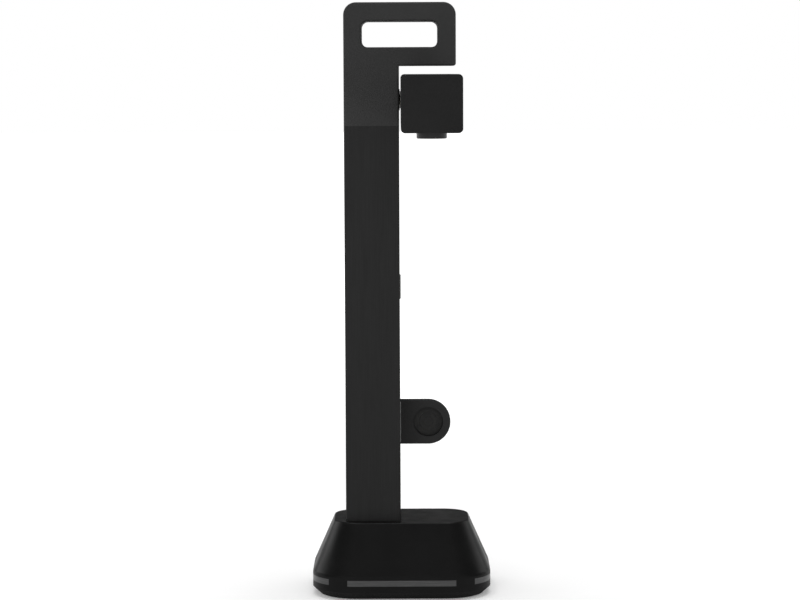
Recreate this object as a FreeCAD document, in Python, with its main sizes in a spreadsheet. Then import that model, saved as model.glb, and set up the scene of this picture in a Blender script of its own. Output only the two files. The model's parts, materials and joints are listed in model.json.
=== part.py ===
import FreeCAD, Part
import math
import os
import Sketcher

# Overhead document scanner, in millimetres.
# X is to the right, Y to the back, Z up. The origin is on the desk, under the middle of the base.
# A weighted base carries a square column. Two handle shells close its top. A camera arm hangs from a
# friction pivot on the column's right face, reaches forward over the paper and folds down beside the
# column, where its lens ring parks in the round dish of the lens rest.

SIZES = (
    ("total_height", 345.0, "desk to the top of the handle"),
    ("base_width", 104.2, "base, across its skirt"),
    ("base_depth", 84.0, "base, front to back at its skirt"),
    ("base_corner", 26.0, "corner radius of the skirt"),
    ("base_height", 42.8, "desk to the top face of the base"),
    ("base_top_width", 79.0, "top face of the base, across"),
    ("base_top_depth", 50.0, "top face of the base, front to back"),
    ("base_top_corner", 15.0, "corner radius of the top face"),
    ("base_top_edge", 1.0, "rounding of the top face's edge"),
    ("knee_height", 13.8, "where the skirt turns into the slopes"),
    ("knee_blend", 1.2, "height of the bevel that softens that turn"),
    ("base_wall", 2.4, "wall of the base shell"),
    ("bevel_height", 4.8, "desk to the tray's rim, above its bevel"),
    ("bevel_inset", 5.2, "how far the bevel runs in under the skirt"),
    ("pad_thickness", 0.8, "anti-slip pad"),
    ("pad_margin", 1.2, "pad's edge inside the tray's underside"),
    ("tray_floor", 2.6, "thickness of the tray's floor"),
    ("lip_height", 2.0, "tray's lip that stands inside the shell"),
    ("lip_thickness", 1.2, "wall of the tray's lip"),
    ("trim_bottom", 8.5, "desk to the trim strips"),
    ("trim_height", 3.4, "trim strips"),
    ("trim_depth", 1.0, "how deep the trim strips lie in the skirt"),
    ("front_trim_width", 63.0, "front trim strip, end to end"),
    ("side_trim_start", 42.4, "middle plane to the ends of the side strips"),
    ("post_inset_width", 14.8, "base posts in from the side of the skirt"),
    ("post_inset_depth", 15.0, "base posts in from the front of the skirt"),
    ("post_radius", 3.0, "base posts"),
    ("post_top", 24.0, "desk to the top of the base posts"),
    ("tray_screw_radius", 1.4, "tray's screws"),
    ("tray_screw_length", 10.4, "tray's screws, under the head"),
    ("tray_screw_head", 2.7, "radius of the heads under the tray"),
    ("tray_screw_head_height", 1.2, "heads under the tray"),
    ("tray_screw_seat", 1.2, "tray left above those heads"),
    ("ballast_thickness", 8.0, "iron ballast plate"),
    ("ballast_margin", 5.8, "ballast's left edge inside the skirt"),
    ("ballast_margin_depth", 9.0, "ballast's front and rear edges inside the skirt"),
    ("ballast_right", 1.3, "ballast and foot beyond the column's right face"),
    ("ballast_scallop", 4.2, "radius of the ballast's cut-outs round the base posts"),
    ("ballast_corner", 20.0, "outer corner radius of the ballast"),
    ("column_width", 32.1, "column, across"),
    ("column_depth", 38.0, "column, front to back"),
    ("column_front", 18.0, "column's front face, forward of the pivot"),
    ("column_wall", 2.0, "wall of the column and of the handle shells"),
    ("column_edge", 1.3, "rounding of the column's and the handle's edges"),
    ("handle_neck", 34.5, "seam of column and handle up to the overhang"),
    ("foot_flange", 3.0, "flange of the column foot"),
    ("foot_flange_margin", 3.5, "flange beyond the column"),
    ("foot_plug_height", 22.0, "plug of the foot inside the column"),
    ("foot_plug_wall", 4.0, "wall of the plug"),
    ("foot_post_radius", 3.8, "screw posts of the foot"),
    ("foot_post_height", 6.0, "screw posts of the foot, above its flange"),
    ("foot_post_x", 9.0, "screw posts, column's middle to each, across"),
    ("foot_post_y", 11.0, "screw posts, column's middle to each, front to back"),
    ("foot_screw_radius", 1.5, "screws up through tray and ballast into the foot"),
    ("foot_screw_length", 17.0, "screws up through tray and ballast into the foot"),
    ("back_screw_radius", 1.2, "screws in the back of column and handle"),
    ("back_screw_head", 2.3, "radius of their heads"),
    ("back_screw_head_height", 1.0, "height of their heads"),
    ("back_screw_spread", 7.6, "column's middle to each of those screws"),
    ("column_screw_height", 13.2, "foot's flange to the screws that hold the column"),
    ("column_screw_length", 5.2, "screws that hold the column on its foot"),
    ("cable_window", 8.0, "width of the window for the cable at the foot"),
    ("cable_window_top", 34.5, "desk to the top of that window"),
    ("slip_gap", 0.15, "gap between parts that slide together"),
    ("handle_width", 65.0, "handle, across"),
    ("flag_height", 36.7, "handle's overhanging part, top to bottom"),
    ("handle_corner", 7.3, "upper corner radius of the handle"),
    ("flag_corner", 1.5, "lower corner radius of the overhang"),
    ("slot_width", 44.4, "hand slot"),
    ("slot_height", 15.0, "hand slot"),
    ("slot_corner", 3.8, "corner radius of the hand slot"),
    ("parting_edge", 0.25, "rounding of the edges where the two shells meet"),
    ("handle_post_spread", 24.5, "screw posts, from the middle plane"),
    ("handle_post_bite", 0.4, "how far the posts run into the walls beside them"),
    ("handle_screw_radius", 1.3, "screws that close the handle"),
    ("handle_screw_head", 2.3, "radius of their heads"),
    ("handle_screw_head_height", 1.6, "height of their heads"),
    ("handle_screw_seat", 5.0, "parting plane back to those heads"),
    ("handle_screw_length", 11.4, "screws that close the handle"),
    ("handle_lip_thickness", 1.85, "handle's lip inside the column"),
    ("lip_root", 8.0, "height of the lip's root inside the handle"),
    ("lip_reach", 10.0, "handle's lip down inside the column"),
    ("arm_clearance", 4.7, "overhang down to the arm"),
    ("collar_radius", 6.2, "visible collar of the pivot bush"),
    ("collar_proud", 0.35, "collar beyond the column's face"),
    ("bush_radius", 5.0, "barrel of the pivot bush"),
    ("bush_length", 8.0, "bush from the column's face inwards"),
    ("shaft_radius", 3.15, "pivot shaft"),
    ("shaft_bore", 2.0, "radius of the cable's way through the shaft"),
    ("running_gap", 0.05, "gap between shaft and bush, all round"),
    ("press_gap", 0.02, "gap of a thread or a pressed fit, all round"),
    ("shaft_flange_radius", 9.0, "shaft's flange inside the arm"),
    ("shaft_flange", 2.0, "thickness of the shaft's flange"),
    ("thrust_radius", 5.0, "thrust washer"),
    ("spring_washer_thickness", 0.5, "spring washer"),
    ("nut_thickness", 3.0, "pivot nut"),
    ("nut_radius", 5.8, "pivot nut, across its corners, halved"),
    ("bracket_thickness", 1.8, "hinge bracket"),
    ("bracket_below", 18.0, "hinge bracket, below the seam"),
    ("bracket_above", 13.0, "hinge bracket, above the pivot"),
    ("bracket_front", 13.0, "hinge bracket, forward of the pivot"),
    ("bracket_screw_low", 9.0, "seam down to the bracket's screws in the column"),
    ("bracket_screw_high", 7.2, "pivot up to the bracket's screws in the handle"),
    ("bracket_screw_length", 3.2, "bracket's screws"),
    ("hub_screw_radius", 0.9, "screws that hold the shaft to the arm"),
    ("hub_screw_head", 1.6, "radius of their heads"),
    ("hub_screw_head_height", 0.9, "height of their heads"),
    ("hub_screw_circle", 6.7, "circle of those screws, about the pivot"),
    ("hub_screw_length", 3.4, "screws that hold the shaft to the arm"),
    ("hub_pilot_floor", 0.5, "arm's wall left outside those screws"),
    ("arm_gap", 0.8, "column's face to the arm's left side"),
    ("arm_width", 31.6, "arm, across"),
    ("arm_height", 29.8, "arm, top to bottom"),
    ("lens_reach", 192.0, "pivot to the lens"),
    ("arm_wall", 2.0, "wall of the arm"),
    ("arm_edge", 2.3, "rounding along the arm's long edges"),
    ("arm_end_edge", 0.8, "rounding round the arm's end face"),
    ("arm_ledge", 1.0, "ledge that the arm's cover leaves at each side"),
    ("cover_front", 4.0, "cover's opening, behind the arm's end face"),
    ("cover_rear", 18.0, "cover's opening, forward of the pivot"),
    ("cover_tab_width", 12.0, "tab that hooks the cover's front end"),
    ("cover_tab_reach", 1.6, "tab beyond the opening"),
    ("cover_tab_thickness", 1.2, "tab that hooks the cover's front end"),
    ("cover_post_spread", 10.4, "cover's screw posts, from the arm's middle"),
    ("cover_post_front", 130.0, "front screw posts, forward of the pivot"),
    ("cover_post_rear", 30.0, "rear screw posts, forward of the pivot"),
    ("cover_post_radius", 2.5, "cover's screw posts"),
    ("cover_screw_radius", 1.1, "cover's screws"),
    ("cover_screw_head", 1.9, "radius of their heads"),
    ("cover_screw_head_height", 1.0, "height of their heads"),
    ("cover_screw_length", 8.7, "cover's screws"),
    ("cover_pilot_depth", 10.0, "holes for them in the posts"),
    ("lens_ring_radius", 7.8, "lens ring"),
    ("lens_ring_proud", 3.0, "lens ring below the arm"),
    ("lens_flange_radius", 9.0, "bezel's flange inside the cover"),
    ("lens_flange", 1.2, "thickness of that flange"),
    ("lens_ring_bevel", 0.6, "bevel round the ring's lower end"),
    ("window_radius", 6.2, "glass window in the lens ring"),
    ("window_thickness", 1.0, "glass window in the lens ring"),
    ("window_recess", 1.2, "window above the ring's lower end"),
    ("window_lip", 0.9, "lip that carries the window"),
    ("barrel_radius", 5.0, "lens barrel"),
    ("barrel_length", 10.0, "lens barrel"),
    ("barrel_overlap", 1.5, "barrel's thread past the lens holder"),
    ("lens_radius", 3.6, "front and rear lens in the barrel"),
    ("lens_thickness", 1.0, "front and rear lens in the barrel"),
    ("lens_recess", 1.0, "lenses inside the barrel's ends"),
    ("sensor_side", 6.0, "image sensor on the camera board"),
    ("sensor_height", 1.0, "image sensor on the camera board"),
    ("holder_width", 14.0, "square lens holder"),
    ("holder_height", 5.0, "square lens holder"),
    ("camera_board_width", 24.0, "camera board, across"),
    ("camera_board_length", 26.0, "camera board, along the arm"),
    ("camera_board_shift", 1.0, "camera board's middle behind the lens"),
    ("camera_plug_length", 4.8, "plug on the camera board, along the arm"),
    ("board_thickness", 1.6, "circuit boards"),
    ("camera_post_spread", 9.6, "camera board's posts, from the lens"),
    ("camera_post_radius", 2.2, "camera board's posts"),
    ("camera_screw_length", 5.6, "camera board's screws"),
    ("small_screw_radius", 0.9, "screws of the boards in the arm and at the button"),
    ("small_screw_head", 1.75, "radius of their heads"),
    ("small_screw_head_height", 1.1, "height of their heads"),
    ("lamp_width", 16.0, "lamp's window in the cover, across"),
    ("lamp_length", 30.0, "lamp's window, along the arm"),
    ("lamp_behind_lens", 35.1, "lens to the middle of the lamp"),
    ("lamp_flange", 1.0, "diffuser's flange, all round"),
    ("lamp_flange_thickness", 0.8, "diffuser's flange"),
    ("lamp_board_lift", 4.7, "lamp board above the cover"),
    ("lamp_post_spread", 19.2, "lamp board's posts, from the lamp's middle"),
    ("lamp_post_radius", 2.0, "lamp board's posts"),
    ("lamp_screw_length", 4.0, "lamp board's screws"),
    ("lamp_board_width", 15.0, "lamp board, across"),
    ("lamp_board_length", 43.0, "lamp board, along the arm"),
    ("chip_side", 3.0, "light chips"),
    ("chip_height", 0.8, "light chips"),
    ("chip_pitch_across", 7.0, "light chips, across"),
    ("chip_pitch_along", 9.0, "light chips, along the arm"),
    ("rest_height", 26.6, "lens rest, top to bottom"),
    ("rest_gap", 0.4, "folded arm to the lens rest"),
    ("rest_edge", 0.8, "rounding of the lens rest"),
    ("dish_side_gap", 1.0, "lens ring to the wall of the dish"),
    ("dish_end_gap", 0.3, "lens ring to the pad in the dish"),
    ("rest_pad_thickness", 0.5, "soft pad in the dish"),
    ("rest_tongue_height", 18.0, "tongue of the rest inside the column"),
    ("rest_tongue_reach", 24.0, "tongue of the rest inside the column"),
    ("rest_screw_inset", 8.4, "rest's screws inside the column's right wall"),
    ("rest_screw_spread", 4.9, "rest's middle to each screw"),
    ("rest_screw_length", 3.4, "rest's screws"),
    ("button_height", 179.1, "desk to the middle of the button"),
    ("button_length", 14.5, "button, top to bottom"),
    ("button_width", 6.0, "button, front to back"),
    ("button_proud", 0.55, "button beyond the column's face"),
    ("button_travel", 0.5, "how far the button goes in"),
    ("button_flange", 1.4, "button's flange, all round"),
    ("button_flange_thickness", 0.8, "button's flange"),
    ("button_frame_depth", 5.8, "frame behind the button"),
    ("button_frame_width", 18.0, "frame behind the button, front to back"),
    ("button_frame_height", 48.0, "frame behind the button, top to bottom"),
    ("button_window_margin", 0.6, "frame's window round the button's flange"),
    ("button_edge", 0.2, "rounding of the button's face"),
    ("button_screw_spread", 19.2, "button's middle to each screw of its board"),
    ("button_screw_length", 4.8, "screws of the button's board"),
    ("button_pilot_depth", 4.2, "holes for them in the frame"),
    ("button_plug_side", 4.8, "square plug on the button's board"),
    ("button_plug_height", 3.2, "plug on the button's board"),
    ("button_plug_drop", 7.2, "plug below the button's middle"),
    ("plunger_radius", 1.5, "plunger of the switch"),
    ("plunger_length", 2.0, "plunger of the switch"),
    ("switch_side", 6.0, "square body of the switch"),
    ("switch_height", 3.6, "body of the switch above its board"),
    ("main_board_width", 24.0, "main board, across"),
    ("main_board_length", 63.0, "main board, front to back"),
    ("main_board_gap", 4.4, "column's right face to the main board"),
    ("main_board_lift", 2.4, "main board above the tray's floor"),
    ("main_board_rear", 4.5, "main board inside the back of the skirt"),
    ("board_post_radius", 2.5, "posts under the main board"),
    ("board_post_inset", 3.0, "posts in from the board's edges"),
    ("board_screw_radius", 1.15, "main board's screws"),
    ("board_screw_head", 2.0, "radius of their heads"),
    ("board_screw_head_height", 1.6, "height of their heads"),
    ("board_screw_length", 4.0, "main board's screws"),
    ("board_pilot_floor", 1.0, "tray left under the posts' holes"),
    ("processor_side", 10.0, "larger chip on the main board"),
    ("memory_side", 7.0, "smaller chip on the main board"),
    ("chip_middle_x", 4.0, "chips right of the main board's middle"),
    ("processor_y", 13.9, "larger chip forward of the main board's middle"),
    ("memory_y", 7.5, "smaller chip behind the main board's middle"),
    ("chip_thickness", 1.0, "chips on the main board"),
    ("socket_shift", 2.0, "USB socket left of the main board's middle"),
    ("socket_width", 9.0, "USB socket"),
    ("socket_height", 3.3, "USB socket"),
    ("socket_length", 7.4, "USB socket"),
    ("socket_wall", 0.3, "sheet of the USB socket"),
    ("socket_corner", 1.45, "corner radius of the USB socket"),
    ("socket_back", 1.2, "closed back of the USB socket"),
    ("socket_blade_width", 6.6, "contact blade in the USB socket"),
    ("socket_blade_thickness", 0.7, "contact blade in the USB socket"),
    ("socket_blade_recess", 0.6, "blade's end inside the socket's mouth"),
    ("socket_recess", 1.2, "socket's mouth inside the back of the skirt"),
    ("socket_gap", 0.2, "gap round the socket in the skirt"),
    ("header_width", 8.0, "plug of the cable on the main board"),
    ("header_height", 5.0, "plug of the cable on the main board"),
    ("header_inset", 1.5, "that plug inside the board's left edge"),
    ("cable_radius", 1.5, "cables"),
    ("lead_radius", 0.9, "leads that branch off the cables"),
    ("cable_bend", 8.0, "bends of the cables"),
    ("cable_drop", 21.6, "column's face to the cable inside it"),
    ("cable_cross", 27.0, "desk to the cable where it leaves the column"),
    ("cable_end_gap", 0.3, "gap between the two cables' ends in the shaft"),
    ("lamp_lead_plug", 1.6, "plug of the lead on the lamp board, and half its side"),
    ("rib_thickness", 2.0, "ribs that hold the arm's cable"),
    ("rib_width", 8.0, "ribs that hold the arm's cable"),
    ("rib_front", 120.0, "front rib, forward of the pivot"),
    ("rib_rear", 60.0, "rear rib, forward of the pivot"),
)


class Size:
    """A number with the formula behind it: the number draws the first guess, the formula binds it."""

    def __init__(self, number, formula):
        self.number = number
        self.formula = formula

    def __add__(self, other):
        other = as_size(other)
        return Size(self.number + other.number, f"({self.formula} + {other.formula})")

    def __sub__(self, other):
        other = as_size(other)
        return Size(self.number - other.number, f"({self.formula} - {other.formula})")

    def __mul__(self, factor):
        return Size(self.number * factor, f"({self.formula} * ({factor}))")

    def __truediv__(self, divisor):
        return Size(self.number / divisor, f"({self.formula} / {divisor})")

    def __neg__(self):
        return Size(-self.number, f"(-{self.formula})")


class Sheet:
    """The driving dimensions, each one an attribute that is a Size bound to its cell."""

    def __init__(self, document):
        cells = document.addObject("Spreadsheet::Sheet", "sizes")
        for row, (alias, value, meaning) in enumerate(SIZES, start=1):
            cells.set(f"A{row}", meaning)
            cells.set(f"B{row}", str(value))
            cells.setAlias(f"B{row}", alias)
        document.recompute()
        for alias, value, meaning in SIZES:
            setattr(self, alias, Size(float(cells.get(alias)), f"sizes.{alias}"))


def as_size(value):
    return value if isinstance(value, Size) else Size(float(value), f"({float(value)})")


doc = FreeCAD.newDocument("document_scanner")
mm = Sheet(doc)
ZERO = as_size(0)
UP = FreeCAD.Vector(0, 0, 1)
parts = {}
cables = []

# Places worked out from the driving dimensions

skirt_x = mm.base_width / 2
skirt_y = mm.base_depth / 2
tray_top = mm.pad_thickness + mm.tray_floor
ballast_top = tray_top + mm.ballast_thickness
foot_top = ballast_top + mm.foot_flange
column_left = -mm.handle_width / 2
column_right = column_left + mm.column_width
column_front = -mm.column_front
column_back = column_front + mm.column_depth
column_middle_x = (column_left + column_right) / 2
column_middle_y = (column_front + column_back) / 2
inside_left = column_left + mm.column_wall
inside_right = column_right - mm.column_wall
inside_front = column_front + mm.column_wall
inside_back = column_back - mm.column_wall
flag_right = mm.handle_width / 2
flag_low = mm.total_height - mm.flag_height
seam_height = flag_low - mm.handle_neck
pivot_height = flag_low - mm.arm_clearance - mm.arm_height / 2
slot_middle = (mm.total_height + flag_low) / 2
bush_end = column_right - mm.bush_length
collar_face = column_right + mm.collar_proud
washer_end = bush_end - mm.running_gap - mm.spring_washer_thickness
shaft_end = washer_end - mm.nut_thickness
arm_left = column_right + mm.arm_gap
arm_right = arm_left + mm.arm_width
arm_middle = (arm_left + arm_right) / 2
arm_half = mm.arm_height / 2
arm_low = pivot_height - arm_half
arm_high = pivot_height + arm_half
lens_y = -mm.lens_reach
arm_tip = lens_y - arm_half
cover_top = arm_low + mm.arm_wall
lamp_y = lens_y + mm.lamp_behind_lens
camera_board_top = pivot_height
camera_board_low = camera_board_top - mm.board_thickness
rest_middle = pivot_height - mm.lens_reach
rest_front = arm_half + mm.rest_gap
dish_floor = arm_half + mm.lens_ring_proud + mm.dish_end_gap + mm.rest_pad_thickness
button_face = column_right + mm.button_proud
flange_back = inside_right - mm.slip_gap - mm.button_flange_thickness
frame_back = inside_right - mm.button_frame_depth
main_board_left = column_right + mm.main_board_gap
main_board_right = main_board_left + mm.main_board_width
main_board_back = skirt_y - mm.main_board_rear
main_board_front = main_board_back - mm.main_board_length
main_board_low = tray_top + mm.main_board_lift
main_board_top = main_board_low + mm.board_thickness
socket_x = (main_board_left + main_board_right) / 2 - mm.socket_shift
header_x = main_board_left + mm.header_inset + mm.header_width / 2
cable_x = column_right - mm.cable_drop


# Ways to draw and to build


def bind(thing, name, size):
    thing.setExpression(name, as_size(size).formula)


def vector(x, y, z=ZERO):
    return FreeCAD.Vector(as_size(x).number, as_size(y).number, as_size(z).number)


def hold(sketch, kind, *where, size=None):
    """One constraint. With a size, its value follows that size."""
    if size is None:
        sketch.addConstraint(Sketcher.Constraint(kind, *where))
        return
    index = sketch.addConstraint(Sketcher.Constraint(kind, *where, as_size(size).number))
    bind(sketch, f"Constraints[{index}]", size)


def hold_x(sketch, piece, end, x):
    hold(sketch, "DistanceX", -1, 1, piece, end, size=x)


def hold_y(sketch, piece, end, y):
    hold(sketch, "DistanceY", -1, 1, piece, end, size=y)


def circle(x, y, radius):
    """A full circle about (x, y)."""

    def draw(sketch):
        ring = sketch.addGeometry(Part.Circle(vector(x, y), UP, radius.number))
        hold_x(sketch, ring, 3, x)
        hold_y(sketch, ring, 3, y)
        hold(sketch, "Radius", ring, size=radius)

    return draw


def corner_arc(sketch, point, way_in, way_out, radius, before, after):
    """Rounds the corner between two lines of a sketch. way_in and way_out are their directions there."""
    centre = point + (way_out - way_in) * radius.number
    left_turn = way_in.cross(way_out).z > 0
    first = (-way_out) if left_turn else way_in
    angle = math.atan2(first.y, first.x)
    ring = Part.Circle(centre, UP, radius.number)
    arc = sketch.addGeometry(Part.ArcOfCircle(ring, angle, angle + math.pi / 2))
    near, far = (1, 2) if left_turn else (2, 1)
    hold(sketch, "Tangent", before, 2, arc, near)
    hold(sketch, "Tangent", arc, far, after, 1)
    hold(sketch, "Radius", arc, size=radius)


def outline(corners):
    """A closed outline of level and upright sides. A corner is (x, y, radius), and sharp without a radius."""

    def draw(sketch):
        points = [vector(x, y) for x, y, radius in corners]
        rounds = [radius.number if radius else 0.0 for x, y, radius in corners]
        count = len(corners)
        ways = [(points[(i + 1) % count] - points[i]).normalize() for i in range(count)]
        sides = []
        for i in range(count):
            after = (i + 1) % count
            start = points[i] + ways[i] * rounds[i]
            end = points[after] - ways[i] * rounds[after]
            side = sketch.addGeometry(Part.LineSegment(start, end))
            sides.append(side)
            if abs(ways[i].x) > abs(ways[i].y):
                hold(sketch, "Horizontal", side)
                hold_y(sketch, side, 1, corners[i][1])
            else:
                hold(sketch, "Vertical", side)
                hold_x(sketch, side, 1, corners[i][0])
        for i in range(count):
            radius = corners[i][2]
            if radius:
                corner_arc(sketch, points[i], ways[i - 1], ways[i], radius, sides[i - 1], sides[i])
            else:
                hold(sketch, "Coincident", sides[i - 1], 2, sides[i], 1)

    return draw


def rectangle(left, right, low, high, radius=None):
    """A rectangle, with its four corners rounded alike where a radius is given."""
    return outline([(left, low, radius), (right, low, radius), (right, high, radius), (left, high, radius)])


def tongue(flat, centre, low, high):
    """Flat at one end, half round about centre at the other, on the side of greater x."""

    def draw(sketch):
        middle = (low + high) / 2
        ring = Part.Circle(vector(centre, middle), UP, (high - middle).number)
        bottom = sketch.addGeometry(Part.LineSegment(vector(flat, low), vector(centre, low)))
        arc = sketch.addGeometry(Part.ArcOfCircle(ring, -math.pi / 2, math.pi / 2))
        top = sketch.addGeometry(Part.LineSegment(vector(centre, high), vector(flat, high)))
        end = sketch.addGeometry(Part.LineSegment(vector(flat, high), vector(flat, low)))
        hold(sketch, "Tangent", bottom, 2, arc, 1)
        hold(sketch, "Tangent", arc, 2, top, 1)
        hold(sketch, "Coincident", top, 2, end, 1)
        hold(sketch, "Coincident", end, 2, bottom, 1)
        hold(sketch, "Horizontal", bottom)
        hold(sketch, "Horizontal", top)
        hold(sketch, "Vertical", end)
        hold_y(sketch, bottom, 1, low)
        hold_y(sketch, top, 1, high)
        hold_x(sketch, end, 1, flat)
        hold_x(sketch, arc, 3, centre)

    return draw


def pill(x, y, half_length, radius):
    """An upright pill about (x, y)."""

    def draw(sketch):
        run = half_length - radius
        upper = Part.Circle(vector(x, y + run), UP, radius.number)
        lower = Part.Circle(vector(x, y - run), UP, radius.number)
        top = sketch.addGeometry(Part.ArcOfCircle(upper, 0, math.pi))
        left = sketch.addGeometry(Part.LineSegment(vector(x - radius, y + run), vector(x - radius, y - run)))
        bottom = sketch.addGeometry(Part.ArcOfCircle(lower, math.pi, 2 * math.pi))
        right = sketch.addGeometry(Part.LineSegment(vector(x + radius, y - run), vector(x + radius, y + run)))
        hold(sketch, "Tangent", top, 2, left, 1)
        hold(sketch, "Tangent", left, 2, bottom, 1)
        hold(sketch, "Tangent", bottom, 2, right, 1)
        hold(sketch, "Tangent", right, 2, top, 1)
        hold(sketch, "Vertical", left)
        hold(sketch, "Vertical", right)
        hold(sketch, "Radius", top, size=radius)
        hold_x(sketch, top, 3, x)
        hold_y(sketch, top, 3, y + run)
        hold_y(sketch, bottom, 3, y - run)

    return draw


def polygon(points):
    """A closed outline through points, with a slanted side where two points share no coordinate."""

    def draw(sketch):
        count = len(points)
        sides = []
        for i in range(count):
            start = vector(*points[i])
            end = vector(*points[(i + 1) % count])
            sides.append(sketch.addGeometry(Part.LineSegment(start, end)))
        for i in range(count):
            hold(sketch, "Coincident", sides[i - 1], 2, sides[i], 1)
            hold_x(sketch, sides[i], 1, points[i][0])
            hold_y(sketch, sides[i], 1, points[i][1])

    return draw


def new_body(name):
    body = doc.addObject("PartDesign::Body", name)
    body.Label = name
    return body


def new_sketch(body, plane, drawings, offset, shift_x=None, shift_y=None):
    """A sketch parallel to one of the body's own planes, offset along that plane's own axis."""
    sketch = body.newObject("Sketcher::SketchObject", f"{body.Name}_sketch")
    role = f"{plane}_Plane"
    face = next(feature for feature in body.Origin.OriginFeatures if feature.Role == role)
    sketch.AttachmentSupport = [(face, "")]
    sketch.MapMode = "FlatFace"
    bind(sketch, "AttachmentOffset.Base.z", -offset if plane == "XZ" else offset)
    if shift_x is not None:
        bind(sketch, "AttachmentOffset.Base.x", shift_x)
    if shift_y is not None:
        bind(sketch, "AttachmentOffset.Base.y", shift_y)
    for draw in drawings:
        draw(sketch)
    return sketch


def slab(body, plane, low, high, drawings, remove=False):
    """Fills, or cuts away, what the drawings enclose, from low to high along the plane's own axis."""
    from_high = (plane == "XZ") != remove
    sketch = new_sketch(body, plane, drawings, high if from_high else low)
    kind = "Pocket" if remove else "Pad"
    feature = body.newObject(f"PartDesign::{kind}", f"{body.Name}_{kind.lower()}")
    feature.Profile = sketch
    bind(feature, "Length", high - low)
    return feature


def cut(body, plane, low, high, drawings):
    return slab(body, plane, low, high, drawings, remove=True)


def loft(body, levels, remove=False):
    """A ruled loft through rounded rectangles. A level is (height, half width, half depth, radius)."""
    sketches = []
    for height, half_x, half_y, radius in levels:
        drawing = rectangle(-half_x, half_x, -half_y, half_y, radius)
        sketches.append(new_sketch(body, "XY", [drawing], height))
    kind = "Subtractive" if remove else "Additive"
    feature = body.newObject(f"PartDesign::{kind}Loft", f"{body.Name}_loft")
    feature.Profile = sketches[0]
    feature.Sections = sketches[1:]
    feature.Ruled = True
    return feature


def rounded(body, radius, chosen):
    """Rounds the edges of the body's tip that the function chosen picks."""
    doc.recompute()
    tip = body.Tip
    edges = [f"Edge{i}" for i, edge in enumerate(tip.Shape.Edges, start=1) if chosen(edge)]
    if not edges:
        raise RuntimeError(f"{body.Name}: no edge to round")
    feature = body.newObject("PartDesign::Fillet", f"{body.Name}_fillet")
    feature.Base = (tip, edges)
    bind(feature, "Radius", radius)
    return feature


def lies_at(edge, axis, size):
    """Whether the whole edge lies at one place along an axis."""
    box = edge.BoundBox
    low, high = {"x": (box.XMin, box.XMax), "y": (box.YMin, box.YMax), "z": (box.ZMin, box.ZMax)}[axis]
    return abs(low - size.number) < 1e-4 and abs(high - size.number) < 1e-4


def turned(name, profile, axis, x=ZERO, y=ZERO, z=ZERO):
    """A body turned about the line through (x, y, z) along X or Z. The profile is in (x, z) from there."""
    body = new_body(name)
    sketch = new_sketch(body, "XZ", [polygon(profile)], y, shift_x=x, shift_y=z)
    feature = body.newObject("PartDesign::Revolution", f"{name}_revolution")
    feature.Profile = sketch
    feature.ReferenceAxis = (sketch, ["H_Axis" if axis == "X" else "V_Axis"])
    feature.Angle = 360
    return body


def placed(thing, x, y, z, rotation=FreeCAD.Rotation()):
    thing.Placement = FreeCAD.Placement(vector(x, y, z), rotation)
    bind(thing, "Placement.Base.x", x)
    bind(thing, "Placement.Base.y", y)
    bind(thing, "Placement.Base.z", z)
    return thing


def box(name, x, y, z):
    """A box from its (low, high) pairs."""
    thing = doc.addObject("Part::Box", name)
    bind(thing, "Length", x[1] - x[0])
    bind(thing, "Width", y[1] - y[0])
    bind(thing, "Height", z[1] - z[0])
    return placed(thing, x[0], y[0], z[0])


TURNS = {
    "X": FreeCAD.Rotation(FreeCAD.Vector(0, 1, 0), 90),
    "Y": FreeCAD.Rotation(FreeCAD.Vector(1, 0, 0), -90),
    "Z": FreeCAD.Rotation(),
}


def along(axis, place, low):
    """The point on the line through place along an axis, where its coordinate is low."""
    x, y, z = place
    return {"X": (low, y, z), "Y": (x, low, z), "Z": (x, y, low)}[axis]


def rod(name, axis, place, low, high, radius):
    """A cylinder along an axis, from low to high on it."""
    thing = doc.addObject("Part::Cylinder", name)
    bind(thing, "Radius", radius)
    bind(thing, "Height", high - low)
    return placed(thing, *along(axis, place, low), TURNS[axis])


def hexagon(name, axis, place, low, high, radius):
    """A six-sided prism along an axis."""
    thing = doc.addObject("Part::Prism", name)
    thing.Polygon = 6
    bind(thing, "Circumradius", radius)
    bind(thing, "Height", high - low)
    return placed(thing, *along(axis, place, low), TURNS[axis])


def joined(name, things):
    thing = doc.addObject("Part::MultiFuse", name)
    thing.Shapes = things
    return thing


def without(name, base, tool):
    thing = doc.addObject("Part::Cut", name)
    thing.Base = base
    thing.Tool = tool
    return thing


def overlap(name, base, tool):
    thing = doc.addObject("Part::Common", name)
    thing.Base = base
    thing.Tool = tool
    return thing


def part(name, thing):
    """Makes a finished object a sub-part, under its own name."""
    thing.Label = name
    parts[name] = thing
    return thing


def screws(name, axis, seats, sign, head, shank, length):
    """Like screws, one at each seat.

    sign is the way they are driven along the axis, head is (radius, height).
    """
    head_radius, head_height = head
    made = []
    for i, seat in enumerate(seats):
        at = seat["XYZ".index(axis)]
        tip = at + length * sign
        back = at - head_height * sign
        socket = at - head_height * 0.4 * sign
        shank_rod = rod(f"{name}_shank_{i}", axis, seat, *ordered(at, tip), shank)
        head_rod = rod(f"{name}_head_{i}", axis, seat, *ordered(back, at), head_radius)
        key = hexagon(f"{name}_key_{i}", axis, seat, *ordered(back, socket), head_radius * 0.5)
        made.append(without(f"{name}_{i}", joined(f"{name}_solid_{i}", [shank_rod, head_rod]), key))
    group = doc.addObject("Part::Compound", name)
    group.Links = made
    return part(name, group)


def ordered(first, second):
    return (first, second) if first.number < second.number else (second, first)


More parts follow.
